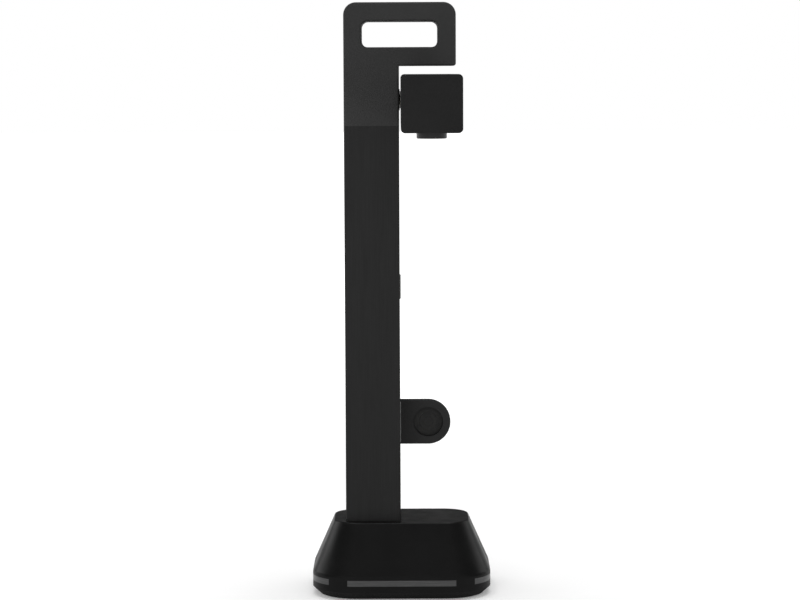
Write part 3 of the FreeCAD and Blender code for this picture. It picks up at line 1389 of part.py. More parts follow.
def make_arm_cover():
    body = new_body("arm_bottom_cover")
    gap = mm.slip_gap
    plate = rectangle(cover_edge_left + gap, cover_edge_right - gap, cover_start + gap, cover_end - gap)
    slab(body, "XY", arm_low, cover_top, [plate])
    half = mm.cover_tab_width / 2
    tab_front = cover_start - mm.cover_tab_reach
    tab = rectangle(arm_middle - half, arm_middle + half, tab_front, cover_start + mm.cover_tab_thickness)
    slab(body, "XY", cover_top, cover_top + mm.cover_tab_thickness, [tab])
    slab(body, "XY", cover_top, lamp_board_low, [circle(x, y, mm.lamp_post_radius) for x, y in lamp_places])
    pilots = [circle(x, y, mm.small_screw_radius + mm.press_gap) for x, y in lamp_places]
    cut(body, "XY", cover_top, lamp_board_low, pilots)
    cut(body, "XY", arm_low, cover_top, [circle(arm_middle, lens_y, mm.lens_ring_radius + gap)])
    lamp_x = mm.lamp_width / 2
    lamp_half = mm.lamp_length / 2
    window = rectangle(
        arm_middle - lamp_x, arm_middle + lamp_x, lamp_y - lamp_half, lamp_y + lamp_half, mm.arm_wall
    )
    cut(body, "XY", arm_low, cover_top, [window])
    holes = [circle(x, y, mm.cover_screw_radius + gap) for x, y in cover_screw_places]
    cut(body, "XY", arm_low, cover_top, holes)
    recesses = [circle(x, y, mm.cover_screw_head + gap) for x, y in cover_screw_places]
    cut(body, "XY", arm_low, cover_screw_seat, recesses)
    part("arm_bottom_cover", body)
    seats = [(x, y, cover_screw_seat) for x, y in cover_screw_places]
    shank = mm.cover_screw_radius
    screws("arm_cover_screws", "Z", seats, 1, cover_screw_head, shank, mm.cover_screw_length)


def make_lens():
    ring = mm.lens_ring_radius
    low = arm_low - mm.lens_ring_proud
    high = cover_top + mm.lens_flange
    seat = low + mm.window_recess
    window = mm.window_radius + mm.press_gap
    bezel = [
        (ring - mm.lens_ring_bevel, low),
        (ring, low + mm.lens_ring_bevel),
        (ring, cover_top),
        (mm.lens_flange_radius, cover_top),
        (mm.lens_flange_radius, high),
        (window, high),
        (window, seat),
        (window - mm.window_lip, seat),
        (window, low),
    ]
    part("lens_bezel", turned("lens_bezel", bezel, "Z", x=arm_middle, y=lens_y))
    place = (arm_middle, lens_y, ZERO)
    part("lens_window", rod("lens_window", "Z", place, seat, seat + mm.window_thickness, mm.window_radius))
    barrel_top = camera_board_low - mm.barrel_overlap
    barrel_low = barrel_top - mm.barrel_length
    glass = mm.lens_radius
    barrel = [
        (glass + mm.lens_recess, barrel_low),
        (mm.barrel_radius, barrel_low),
        (mm.barrel_radius, barrel_top),
        (glass, barrel_top),
        (glass, barrel_low + mm.lens_recess),
    ]
    part("lens_barrel", turned("lens_barrel", barrel, "Z", x=arm_middle, y=lens_y))
    lens = glass - mm.press_gap
    front = barrel_low + mm.lens_recess
    part("front_lens", rod("front_lens", "Z", place, front, front + mm.lens_thickness, lens))
    rear = barrel_top - mm.lens_recess
    part("rear_lens", rod("rear_lens", "Z", place, rear - mm.lens_thickness, rear, lens))
    half = mm.sensor_side / 2
    sensor_x = (arm_middle - half, arm_middle + half)
    sensor_z = (camera_board_low - mm.sensor_height, camera_board_low)
    part("image_sensor", box("image_sensor", sensor_x, (lens_y - half, lens_y + half), sensor_z))
    body = new_body("lens_holder")
    half = mm.holder_width / 2
    holder_low = camera_board_low - mm.holder_height
    block = rectangle(arm_middle - half, arm_middle + half, lens_y - half, lens_y + half)
    slab(body, "XY", holder_low, camera_board_low, [block])
    bore = circle(arm_middle, lens_y, mm.barrel_radius + mm.press_gap)
    cut(body, "XY", holder_low, camera_board_low, [bore])
    part("lens_holder", body)


camera_board_front = lens_y + mm.camera_board_shift - mm.camera_board_length / 2
camera_board_back = lens_y + mm.camera_board_shift + mm.camera_board_length / 2
arm_cable_start = camera_board_back + mm.camera_plug_length / 2


def make_camera_board():
    body = new_body("camera_board_plate")
    half = mm.camera_board_width / 2
    plate = rectangle(arm_middle - half, arm_middle + half, camera_board_front, camera_board_back)
    slab(body, "XY", camera_board_low, camera_board_top, [plate])
    ways = [circle(x, y, mm.small_screw_radius + mm.slip_gap) for x, y in camera_places]
    cut(body, "XY", camera_board_low, camera_board_top, ways)
    half = mm.header_width / 2
    plug_x = (arm_middle - half, arm_middle + half)
    plug_y = (arm_cable_start - mm.camera_plug_length, arm_cable_start)
    half = mm.header_height / 2
    plug = box("camera_plug", plug_x, plug_y, (pivot_height - half, pivot_height + half))
    part("camera_board", joined("camera_board", [body, plug]))
    seats = [(x, y, camera_board_low) for x, y in camera_places]
    shank = mm.small_screw_radius
    screws("camera_board_screws", "Z", seats, 1, small_screw_head, shank, mm.camera_screw_length)


def make_lamp():
    gap = mm.slip_gap
    half_x = mm.lamp_width / 2
    half_y = mm.lamp_length / 2
    body = new_body("led_diffuser")
    x_in = half_x - gap
    y_in = half_y - gap
    pane = rectangle(arm_middle - x_in, arm_middle + x_in, lamp_y - y_in, lamp_y + y_in, mm.arm_wall - gap)
    slab(body, "XY", arm_low, cover_top, [pane])
    x_out = half_x + mm.lamp_flange
    y_out = half_y + mm.lamp_flange
    rim = rectangle(arm_middle - x_out, arm_middle + x_out, lamp_y - y_out, lamp_y + y_out, mm.arm_wall)
    slab(body, "XY", cover_top, cover_top + mm.lamp_flange_thickness, [rim])
    part("led_diffuser", body)
    plate = new_body("led_board_plate")
    board_x = mm.lamp_board_width / 2
    board_y = mm.lamp_board_length / 2
    drawing = rectangle(arm_middle - board_x, arm_middle + board_x, lamp_y - board_y, lamp_y + board_y)
    slab(plate, "XY", lamp_board_low, lamp_board_top, [drawing])
    ways = [circle(x, y, mm.small_screw_radius + gap) for x, y in lamp_places]
    cut(plate, "XY", lamp_board_low, lamp_board_top, ways)
    half = mm.lamp_lead_plug
    plug_z = (lamp_board_top, lamp_board_top + mm.lamp_lead_plug)
    plug = box("lamp_plug", (arm_middle - half, arm_middle + half), (lamp_y - half, lamp_y + half), plug_z)
    part("led_board", joined("led_board", [plate, plug]))
    side = mm.chip_side / 2
    chips = []
    for i in (-0.5, 0.5):
        for j in (-1, 0, 1):
            x = arm_middle + mm.chip_pitch_across * i
            y = lamp_y + mm.chip_pitch_along * j
            chip_z = (lamp_board_low - mm.chip_height, lamp_board_low)
            chips.append(box(f"chip_{len(chips)}", (x - side, x + side), (y - side, y + side), chip_z))
    group = doc.addObject("Part::Compound", "led_chips")
    group.Links = chips
    part("led_chips", group)
    seats = [(x, y, lamp_board_top) for x, y in lamp_places]
    shank = mm.small_screw_radius
    screws("led_board_screws", "Z", seats, -1, small_screw_head, shank, mm.lamp_screw_length)


def make_arm_cable():
    """From the camera board back along the arm, then through the pivot shaft."""
    section = circle(arm_middle, pivot_height, mm.cable_radius)
    points = [(arm_middle, arm_cable_start), (arm_middle, ZERO), (shaft_end, ZERO)]
    body = cable("arm_cable_run", "XY", pivot_height, "XZ", arm_cable_start, section, points)
    place = (arm_middle, lamp_y, ZERO)
    lead_low = lamp_board_top + mm.lamp_lead_plug
    lead = rod("lamp_lead", "Z", place, lead_low, pivot_height, mm.lead_radius)
    part("arm_cable", joined("arm_cable", [body, lead]))


for make in (
    make_pad,
    make_tray,
    make_ballast,
    make_trim,
    make_shell,
    make_main_board,
    make_socket,
    make_header,
    make_foot,
    make_tube,
    make_cable,
    make_button,
    make_button_frame,
    make_switch,
    make_rest,
    make_handle,
    make_bracket,
    make_pivot,
    make_arm_shell,
    make_arm_cover,
    make_lens,
    make_camera_board,
    make_lamp,
    make_arm_cable,
):
    make()
doc.recompute()

# Checks, then one file for each sub-part

for thing in doc.Objects:
    if "Invalid" in thing.State or "Error" in thing.State:
        raise RuntimeError(f"{thing.Name} failed: {thing.State}")
    if thing.TypeId in ("PartDesign::Pocket", "PartDesign::SubtractiveLoft"):
        if thing.Shape.Volume > thing.BaseFeature.Shape.Volume - 0.01:
            raise RuntimeError(f"{thing.Name} cuts nothing")
for pipe, section, path in cables:
    expected = Part.Face(section.Shape.Wires[0]).Area * path.Shape.Length
    if abs(pipe.Shape.Volume / expected - 1) > 0.01:
        raise RuntimeError(f"{pipe.Name} isn't as large as its section times its length")
for name, thing in parts.items():
    if thing.Shape.isNull() or not thing.Shape.isValid():
        raise RuntimeError(f"{name} has no valid shape")

os.makedirs("parts", exist_ok=True)
for name, thing in parts.items():
    thing.Shape.exportStep(f"parts/{name}.step")
    print(name, len(thing.Shape.Solids), "solid(s),", round(thing.Shape.Volume / 1000, 3), "cm3")
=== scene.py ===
# %% [markdown]
# # Overhead document scanner
#
# The scanner's solids were built and packed beforehand. Here they stand as a frame: each one is in its
# place, in metres, and needs only its finish, or a finer piece in its stead.

# %% The imported frame
import json
import math

import bmesh
import bpy
from mathutils import Matrix, Vector


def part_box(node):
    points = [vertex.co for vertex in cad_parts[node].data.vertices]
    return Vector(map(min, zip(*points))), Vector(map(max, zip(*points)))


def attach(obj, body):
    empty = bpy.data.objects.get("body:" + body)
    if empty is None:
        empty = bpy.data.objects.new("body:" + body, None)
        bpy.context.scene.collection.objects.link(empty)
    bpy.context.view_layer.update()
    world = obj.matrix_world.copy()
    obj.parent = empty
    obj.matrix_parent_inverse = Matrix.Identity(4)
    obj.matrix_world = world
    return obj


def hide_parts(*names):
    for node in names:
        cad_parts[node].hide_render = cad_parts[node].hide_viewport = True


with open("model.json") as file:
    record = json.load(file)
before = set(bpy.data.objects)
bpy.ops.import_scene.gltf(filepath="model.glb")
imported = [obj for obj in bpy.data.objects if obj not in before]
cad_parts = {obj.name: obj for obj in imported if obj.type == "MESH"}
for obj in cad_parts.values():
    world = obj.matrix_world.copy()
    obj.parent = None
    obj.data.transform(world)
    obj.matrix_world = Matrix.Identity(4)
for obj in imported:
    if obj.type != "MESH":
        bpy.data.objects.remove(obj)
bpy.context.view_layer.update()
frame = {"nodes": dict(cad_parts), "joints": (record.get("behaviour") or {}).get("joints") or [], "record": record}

scene = bpy.context.scene
for body, members in frame["record"]["behaviour"]["bodies"].items():
    print(f"body {body} carries {len(members)} solids")

# %% [markdown]
# ## The camera
#
# The photograph was taken from a little over one and a half metres away, at the height of the camera
# arm, looking slightly down through a long lens. A long lens keeps the column's sides parallel. The
# viewing angle could be guessed by eye, but here it was fitted to the outlines, so the numbers stand as
# they came: the picture is 800 pixels wide, and one radian covers 2570 of them.

# %% Camera at the photograph's place
PICTURE_WIDTH, PIXELS_PER_RADIAN, SENSOR_WIDTH = 800, 2570, 36.0
CAMERA_PLACE = (-0.00035, -1.5073, 0.304)
DEGREES_DOWN, DEGREES_ROLLED = 5.038, -0.240
NEAREST, FARTHEST = 0.05, 60.0

camera = bpy.data.objects.new("camera", bpy.data.cameras.new("camera"))
scene.collection.objects.link(camera)
camera.data.sensor_width = SENSOR_WIDTH
camera.data.lens = SENSOR_WIDTH * PIXELS_PER_RADIAN / PICTURE_WIDTH
camera.data.clip_start, camera.data.clip_end = NEAREST, FARTHEST
camera.matrix_world = (
    Matrix.Translation(CAMERA_PLACE)
    @ Matrix.Rotation(math.radians(90 - DEGREES_DOWN), 4, "X")
    @ Matrix.Rotation(math.radians(DEGREES_ROLLED), 4, "Z")
)
scene.camera = camera
scene.view_settings.view_transform = "Standard"
print(f"lens {camera.data.lens:.1f} mm")

# %% [markdown]
# ## Colours and nodes
#
# Every material below is a small tree of nodes. One function turns a colour as a designer writes it,
# an sRGB hex value, into the linear numbers that a shader adds up. Another adds a node, sets it and
# links it, so that a tree reads from top to bottom. A third starts a material from the shader that
# covers nearly all real surfaces.

# %% Colour, node and material helpers
MM = 0.001
FACTOR, FIRST, SECOND, MIXED = 0, 6, 7, 2  # a colour mix's sockets


def linear(text):
    """An sRGB hex colour as linear red, green, blue and alpha."""
    levels = [int(text[i : i + 2], 16) / 255 for i in (1, 3, 5)]
    return [v / 12.92 if v <= 0.04045 else ((v + 0.055) / 1.055) ** 2.4 for v in levels] + [1.0]


def add(tree, kind, inputs=None, **settings):
    """A node with its settings. An input is a value, or the output that it is linked from."""
    node = tree.nodes.new(kind)
    for name, value in settings.items():
        setattr(node, name, value)
    for name, value in (inputs or {}).items():
        socket = node.inputs[name]
        if isinstance(value, bpy.types.NodeSocket):
            tree.links.new(value, socket)
        else:
            socket.default_value = value
    return node


def material(name, **values):
    """A material with plain values on its shader. Gives it with its tree, shader and coordinates."""
    made = bpy.data.materials.new(name)
    made.use_nodes = True
    tree = made.node_tree
    tree.nodes.clear()
    inputs = {key.replace("_", " ").title().replace("Ior", "IOR"): v for key, v in values.items()}
    shader = add(tree, "ShaderNodeBsdfPrincipled", inputs)
    add(tree, "ShaderNodeOutputMaterial", {"Surface": shader.outputs["BSDF"]})
    where = add(tree, "ShaderNodeTexCoord").outputs["Object"]
    print("material", name)
    return made, tree, shader, where


print("black of the handle, linear:", [round(v, 4) for v in linear("#313131")[:3]])

# %% [markdown]
# ## Patterns with a real size
#
# A finish is told apart by marks that have a size in millimetres: the grain of a mould, the lines of a
# drawing die, the smears of a hand. The object's own coordinates are in metres, so a pattern's scale is
# one over its size. A few short functions cover all the finishes: patches, lines, a bump, a tint
# between two colours, and a link that lets a pattern drive one of the shader's values.

# %% Pattern helpers
USUAL_NOISE = {"From Min": 0.3, "From Max": 0.7}  # nearly all of a noise lies between these


def patches(tree, where, size, low=0, high=1, detail=2.0):
    """A value that wanders between low and high, in patches of about size millimetres."""
    noise = add(tree, "ShaderNodeTexNoise", {"Vector": where, "Scale": 1 / (size * MM), "Detail": detail})
    span = {"Value": noise.outputs["Fac"], **USUAL_NOISE, "To Min": low, "To Max": high}
    return add(tree, "ShaderNodeMapRange", span, interpolation_type="SMOOTHSTEP").outputs["Result"]


def along(tree, where, axes, stretch=0.02):
    """Coordinates in which any pattern is drawn out into lines along one axis or two."""
    scale = [stretch if name in axes else 1.0 for name in "XYZ"]
    return add(tree, "ShaderNodeMapping", {"Vector": where, "Scale": scale}).outputs["Vector"]


def bump(tree, shader, height, depth, strength=1.0):
    """Lets a value from 0 to 1 stand up by depth millimetres, on top of any bump that is there."""
    inputs = {"Height": height, "Distance": depth * MM, "Strength": strength}
    if shader.inputs["Normal"].is_linked:
        inputs["Normal"] = shader.inputs["Normal"].links[0].from_socket
    tree.links.new(add(tree, "ShaderNodeBump", inputs).outputs["Normal"], shader.inputs["Normal"])


def tint(tree, shader, factor, first, second):
    """Colours the shader between two hex colours."""
    inputs = {FACTOR: factor, FIRST: linear(first), SECOND: linear(second)}
    mixed = add(tree, "ShaderNodeMix", inputs, data_type="RGBA").outputs[MIXED]
    tree.links.new(mixed, shader.inputs["Base Color"])


def link(tree, value, shader, name):
    """Lets a pattern drive one of the shader's values."""
    tree.links.new(value, shader.inputs[name])


print("a grain of 0.5 mm has the scale", 1 / (0.5 * MM))

# %% [markdown]
# ## Moulded ABS
#
# Most of what shows is ABS, injection moulded in black. The mould's cavity was eroded by sparks, which
# leaves fine rounded pits: they spread the light, so a flat face looks even and soft. Real pits are about
# 0.1 mm wide, finer than a pixel here, so they are drawn 0.5 mm wide and shallow. Under them, broad
# patches of slightly different gloss come from the melt's flow and from hands.
#
# The handle has a soft-touch lacquer over the ABS. It is lighter and duller than the bare plastic of the
# arm, as the photograph shows where the handle meets the column. The lens rest is the same black ABS,
# a little rougher, and painted a little paler to make up for the shade that the column casts on it. The
# tray's grain is coarse, which hides the scuffs of a desk.
# The lens ring has a finer, shinier satin, and its black is painted a shade paler than the base's, to make
# up for the light that it lacks. The base comes from a polished mould: it has no grain, but
# broad low waves where the plastic shrank, and they let the edges of a reflection wander.

# %% Lacquered, satin and glossy ABS
ABS_IOR = 1.54
COLOUR_PATCH, GLOSS_PATCH, GRAIN, SHRINK_WAVE = 24, 38, 0.5, 18  # millimetres


def moulded(name, dark, light, gloss, grain_depth, specular):
    """ABS from a spark-eroded mould. gloss is the range of its roughness."""
    made, tree, shader, where = material(name, ior=ABS_IOR, specular_ior_level=specular)
    tint(tree, shader, patches(tree, where, COLOUR_PATCH), dark, light)
    link(tree, patches(tree, where, GLOSS_PATCH, *gloss, detail=4), shader, "Roughness")
    bump(tree, shader, patches(tree, where, GRAIN, detail=3), grain_depth)
    return made


handle_abs = moulded("abs_soft_touch_lacquer", "#313131", "#343434", (0.6, 0.7), 0.02, 0.16)
arm_abs = moulded("abs_spark_eroded", "#1b1b1b", "#1e1e1e", (0.5, 0.6), 0.02, 0.12)
# painted light: the lens rest's black is paler than the arm's, to make up for the column's shade on it
rest_abs_painted_paler = moulded("abs_glass_filled", "#2b2b2b", "#2e2e2e", (0.56, 0.66), 0.03, 0.12)
# painted light: the ring's black is a shade paler than the base's, to make up for the light it lacks
ring_abs = moulded("abs_fine_satin", "#121212", "#151515", (0.3, 0.4), 0.01, 0.3)
tray_abs = moulded("abs_coarse_spark_eroded", "#1a1a1a", "#1d1d1d", (0.62, 0.72), 0.05, 0.12)

base_abs, tree, shader, where = material("abs_high_gloss", ior=ABS_IOR, specular_ior_level=0.16)
tint(tree, shader, patches(tree, where, COLOUR_PATCH), "#0d0d0d", "#0f0f0f")
link(tree, patches(tree, where, 14, 0.28, 0.38), shader, "Roughness")
wave = {"Vector": where, "Scale": 1 / (SHRINK_WAVE * MM), "Detail": 0.0}
bump(tree, shader, add(tree, "ShaderNodeTexNoise", wave).outputs["Fac"], 0.03)

# %% [markdown]
# ## Black anodised aluminium
#
# The column is an extruded tube. The die leaves faint upright lines, and the dyed oxide skin over them
# is dull and nearly black. It could be a plain metal, but dyed oxide is a thin mineral layer that
# scatters the light, so to the eye it is mostly a dull solid with a little metal under it.

# %% Anodised column
DIE_LINE, DULL_STREAK = 0.6, 5  # millimetres across
oxide = {"metallic": 0.2, "specular_ior_level": 0.14}
die_metal, tree, shader, where = material("aluminium_black_anodised", **oxide)
die_lines = patches(tree, along(tree, where, "Z"), DIE_LINE, detail=3)
tint(tree, shader, die_lines, "#252525", "#282828")
link(tree, patches(tree, along(tree, where, "Z", 0.1), DULL_STREAK, 0.4, 0.5), shader, "Roughness")
bump(tree, shader, die_lines, 0.004)

# %% [markdown]
# ## The other plastics and rubbers
#
# The trim strips are ABS with a metallic foil, pressed on hot. The foil is drawn lengthways, so fine
# lines run round the base, and its clear lacquer shines where a strip turns away from the eye. The pads
# are silicone rubber: no gloss, and a bloom of dust. Their grey is painted paler than the black plastics,
# to make up for the shade in the lens rest's dish. The bead is a pale elastomer, soft and satin; its pale
# grey is a painted highlight along the joint of the rest and the column. Cable jackets are PVC with a
# low, even shine, and the plugs are nylon in its natural cream.

# %% Foil, rubber, jackets and nylon
FOIL_LINE = 0.4  # millimetres
lacquered = {"metallic": 0.9, "roughness": 0.36, "coat_weight": 1.0, "coat_roughness": 0.15}
foil, tree, shader, where = material("abs_hot_stamped_foil", **lacquered)
foil_lines = patches(tree, along(tree, where, "XY", 0.03), FOIL_LINE)
tint(tree, shader, foil_lines, "#4f4f50", "#5c5c5c")
bump(tree, shader, foil_lines, 0.003)

# painted light: the rubber's grey is paler than the black plastics, to make up for the shade in the dish
rubber, tree, shader, where = material("silicone_rubber", roughness=0.85, ior=1.43, specular_ior_level=0.3)
tint(tree, shader, patches(tree, where, 3, detail=5), "#2b2b2b", "#313130")
bump(tree, shader, patches(tree, where, 0.6), 0.02)

# painted highlight: the bead's pale grey stands for the light line along the column's edge
bead_painted_highlight_elastomer, tree, shader, where = material("thermoplastic_elastomer_grey", roughness=0.6, ior=1.5)
tint(tree, shader, patches(tree, where, 2, detail=4), "#808080", "#888888")

jacket, tree, shader, where = material("pvc_cable_jacket", roughness=0.5, ior=1.54)
tint(tree, shader, patches(tree, where, 4, detail=3), "#161617", "#1b1b1c")
bump(tree, shader, patches(tree, where, 0.8), 0.01)

nylon, tree, shader, where = material("nylon_natural", roughness=0.45, ior=1.53)
tint(tree, shader, patches(tree, where, 2, detail=3), "#d6d0bf", "#e0dbcc")
bump(tree, shader, patches(tree, where, 0.5), 0.01)

# %% [markdown]
# ## Steels and iron
#
# Screws that show are blackened: the oxide is matt and slightly brown. Those inside are zinc plated and
# have a bluish, faintly cloudy shine. Nickel is warmer and brighter, and the socket's contacts are brass
# under a thin, deep yellow gold. Turned parts such as the pivot shaft carry fine rings from the lathe,
# and the ballast is a casting in black primer, rough as the sand of its mould.

# %% Metals
UNEVENNESS = 0.3  # how wide a bump is against a cloud of colour


def plated(name, dark, light, roughness, grain=1.5, depth=0.004):
    """A plated or oxidised metal: clouds in its colour and a fine unevenness."""
    made, tree, shader, where = material(name, metallic=1.0, roughness=roughness)
    tint(tree, shader, patches(tree, where, grain, detail=4), dark, light)
    bump(tree, shader, patches(tree, where, grain * UNEVENNESS), depth)
    return made


black_steel = plated("steel_black_oxide", "#2a2928", "#343332", 0.42)
zinc_steel = plated("steel_zinc_plated", "#a3a6aa", "#b9bbbd", 0.32)
nickel_steel = plated("steel_nickel_plated", "#c9c6c0", "#d8d6d1", 0.2)
gold = plated("brass_gold_plated", "#d0a24a", "#dcb260", 0.22, grain=0.5)

TOOL_MARK = 0.3  # millimetres, far coarser than real, to show at all
turned_steel, tree, shader, where = material("steel_turned", metallic=1.0, roughness=0.28)
rings = patches(tree, along(tree, where, "YZ", 0.01), TOOL_MARK)
tint(tree, shader, rings, "#b2b2b0", "#c6c6c3")
bump(tree, shader, rings, 0.004)

cast_iron, tree, shader, where = material("iron_cast_primed", roughness=0.7, ior=1.5)
tint(tree, shader, patches(tree, where, 6, detail=5), "#262524", "#31302e")
bump(tree, shader, patches(tree, where, 1.2, detail=4), 0.12)

# %% [markdown]
# ## Glass and the lamp's pane
#
# The window and the lenses are coated glass: clear, with a faint violet reflection that stays when the
# light moves. The lamp's pane is frosted polycarbonate, which lets light through and blurs it. The image
# sensor is silicon under its own small glass, and shimmers dark blue and violet.

# %% Clear and frosted
glass_values = {"transmission_weight": 1.0, "roughness": 0.02, "ior": 1.52, "coat_weight": 0.6}
glass, tree, shader, where = material("glass_coated", coat_tint=linear("#c9b4ff"), **glass_values)
tint(tree, shader, patches(tree, where, 6), "#e4eaee", "#dfe8ee")

frosted, tree, shader, where = material("polycarbonate_frosted", transmission_weight=0.5, ior=1.585)
tint(tree, shader, patches(tree, where, 3, detail=3), "#e2e6e7", "#eceff0")
link(tree, patches(tree, where, 1, 0.4, 0.55), shader, "Roughness")
bump(tree, shader, patches(tree, where, 0.4), 0.02)

silicon, tree, shader, where = material("silicon_under_glass", metallic=0.3, roughness=0.12, ior=1.52)
tint(tree, shader, patches(tree, where, 2, detail=0), "#1a2336", "#2b2440")

# %% [markdown]
# ## Circuit boards
#
# A board is glass fibre under green solder mask. Copper tracks show through as lighter lines, and the
# solder points shine. A grid of bricks stands for the tracks and scattered cells for the points. Chips
# and plugs are one solid with their board, so a second colour starts where the board's thickness ends.

# %% Boards
POINT_PITCH, POINT_SHARE = 2.4, 0.16  # millimetres, and the part of a cell that a solder point takes
BOARD = 1.61 * MM  # a board's 1.6 mm, and a little more
JUST_ABOVE = 0.05 * MM
TRACKS = {"Mortar Size": 0.12, "Brick Width": 3.1, "Row Height": 0.9}  # millimetres
MASK_GREEN, COPPER_GREEN, SOLDER = "#12492a", "#2b7446", "#b9bcbc"
CHIP_BLACK, PLUG_CREAM = "#1b1b1d", "#d9d4c4"


def circuit_board(name, axis, start, package, sign=1):
    """Solder mask with tracks. Beyond start metres along an axis, the chips' or plugs' colour."""
    made, tree, shader, where = material(name, ior=1.5)
    bricks = {"Vector": where, "Scale": 1 / MM, **TRACKS}
    tracks = add(tree, "ShaderNodeTexBrick", bricks).outputs["Fac"]
    cells = {"Vector": where, "Scale": 1 / (POINT_PITCH * MM), "Randomness": 0.8}
    dots = add(tree, "ShaderNodeTexVoronoi", cells).outputs["Distance"]
    inside = add(tree, "ShaderNodeMath", {0: dots, 1: POINT_SHARE}, operation="LESS_THAN").outputs[0]
    split = add(tree, "ShaderNodeSeparateXYZ", {"Vector": where}).outputs[axis]
    compare = "GREATER_THAN" if sign > 0 else "LESS_THAN"
    beyond = add(tree, "ShaderNodeMath", {0: split, 1: start}, operation=compare).outputs[0]
    colour = linear(MASK_GREEN)
    for factor, second in ((tracks, COPPER_GREEN), (inside, SOLDER), (beyond, package)):
        layer = {FACTOR: factor, FIRST: colour, SECOND: linear(second)}
        colour = add(tree, "ShaderNodeMix", layer, data_type="RGBA").outputs[MIXED]
    link(tree, colour, shader, "Base Color")
    link(tree, patches(tree, where, 4, 0.3, 0.42), shader, "Roughness")
    bump(tree, shader, tracks, 0.02)
    return made


low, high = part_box("main_board")
main_green = circuit_board("solder_mask_main", "Z", low.z + BOARD, CHIP_BLACK)
hinge = next(joint for joint in frame["joints"] if joint["name"] == "arm_fold")
above_board = hinge["pos_m"][2] + JUST_ABOVE  # the camera board's upper face is level with the hinge
camera_green = circuit_board("solder_mask_camera", "Z", above_board, PLUG_CREAM)
low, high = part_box("led_board")
lamp_green = circuit_board("solder_mask_lamp", "Z", low.z + BOARD, PLUG_CREAM)
low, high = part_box("button_board")
button_green = circuit_board("solder_mask_button", "X", high.x - BOARD, PLUG_CREAM, sign=-1)
print("chips and plugs start", round(BOARD / MM, 2), "mm from a board's bare face")

# %% [markdown]
# ## Dressing the solids
#
# A solid whose shape is right keeps it, and only its material changes. The table goes by the finish that
# each solid was packed with, and then names those that differ.

# %% Finishes on the solids
BY_SLOT = {
    "black_plastic": arm_abs,
    "gloss_black_plastic": base_abs,
    "black_aluminium": die_metal,
    "silver_trim": foil,
    "soft_rubber": rubber,
    "iron": cast_iron,
    "steel": zinc_steel,
    "black_steel": black_steel,
    "bright_steel": nickel_steel,
    "pale_plastic": nylon,
    "frosted_plastic": frosted,
    "cable_jacket": jacket,
    "clear_glass": glass,
    "sensor_glass": silicon,
}
BY_NODE = {
    "handle_front_shell": handle_abs,
    "handle_rear_shell": handle_abs,
    "lens_rest": rest_abs_painted_paler,
    "base_tray": tray_abs,
    "column_foot": tray_abs,
    "button_frame": tray_abs,
    "pivot_shaft": turned_steel,
    "main_board": main_green,
    "camera_board": camera_green,
    "led_board": lamp_green,
    "button_board": button_green,
}
for name, node in frame["nodes"].items():
    slot_name = node.material_slots[0].material.name.split(".")[0]
    node.material_slots[0].material = BY_NODE.get(name) or BY_SLOT[slot_name]
print("dressed", len(frame["nodes"]), "solids")

# %% [markdown]
# ## Making a piece
#
# A finer piece is a mesh whose points are already where they belong, so its object stays at the origin.
# It rides on the body that carries it, takes the finish that it is given, and may stand for a
# solid, which then isn't shown. Edges sharper than about 35 degrees stay crisp, the rest is smooth.

# %% Piece helpers
CRISP = math.radians(35)
print("an edge is crisp from", round(CRISP, 3), "radians")


def piece(name, mesh, finish, body, slot_name, *stands_for):
    """Puts a mesh on the scanner as a finished piece."""
    made = bpy.data.objects.new(name, mesh)
    scene.collection.objects.link(made)
    mesh.materials.clear()
    mesh.materials.append(finish)
    mesh.polygons.foreach_set("use_smooth", [True] * len(mesh.polygons))
    mesh.set_sharp_from_angle(angle=CRISP)
    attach(made, body)
    if stands_for:
        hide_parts(*stands_for)
    print(f"{name}: {len(mesh.polygons)} faces")


def to_mesh(name, work):
    """A mesh from a bmesh, with its faces turned outwards."""
    bmesh.ops.recalc_face_normals(work, faces=work.faces)
    mesh = bpy.data.meshes.new(name)
    work.to_mesh(mesh)
    work.free()
    return mesh


def merged(name, *meshes):
    """Several meshes as one."""
    work = bmesh.new()
    for mesh in meshes:
        work.from_mesh(mesh)
    made = bpy.data.meshes.new(name)
    work.to_mesh(made)
    work.free()
    return made


# %% [markdown]
# ## Turned pieces
#
# A lens ring, a lens and a barrel are round about one line, so each is a section turned about it. The
# section is a list of radii and heights. Where it reaches the line, the ring of points shrinks to one.

# %% Turning a section
SIDES = 72
print("a turned piece has", SIDES, "sides")


def lathe(name, section, centre, axis="Z", closed=True):
    """Turns a section of (radius, height) in millimetres about an axis through centre, in millimetres."""
    work = bmesh.new()
    rings = []
    for radius, height in section:
        count = SIDES if radius > 0 else 1
        ring = []
        for i in range(count):
            angle = 2 * math.pi * i / SIDES
            across, up = radius * math.cos(angle), radius * math.sin(angle)
            offset = {"Z": (across, up, height), "Y": (up, height, across)}[axis]
            ring.append(work.verts.new((Vector(centre) + Vector(offset)) * MM))
        rings.append(ring)
    pairs = list(zip(rings, rings[1:] + rings[:1])) if closed else list(zip(rings, rings[1:]))
    for first, second in pairs:
        for i in range(SIDES):
            after = (i + 1) % SIDES
            corners = [first[i % len(first)], first[after % len(first)]]
            corners += [second[after % len(second)], second[i % len(second)]]
            work.faces.new(list(dict.fromkeys(corners)))
    return to_mesh(name, work)


def arc(centre, radius, start, end, steps):
    """Points of an arc in a section, from one angle to another, in degrees."""
    angles = [math.radians(start + (end - start) * i / steps) for i in range(steps + 1)]
    return [(centre[0] + radius * math.cos(a), centre[1] + radius * math.sin(a)) for a in angles]


# %% [markdown]
# ## The lens ring
#
# Under the tip of the arm a ring stands round the camera's window. Its outside is smooth, and a fine
# groove runs round its rim. Its inside narrows towards the glass in small steps, which catch stray light
# before it reaches the lens. The steps could be a bump in the material, but from below their edges are
# seen, so they are cut.

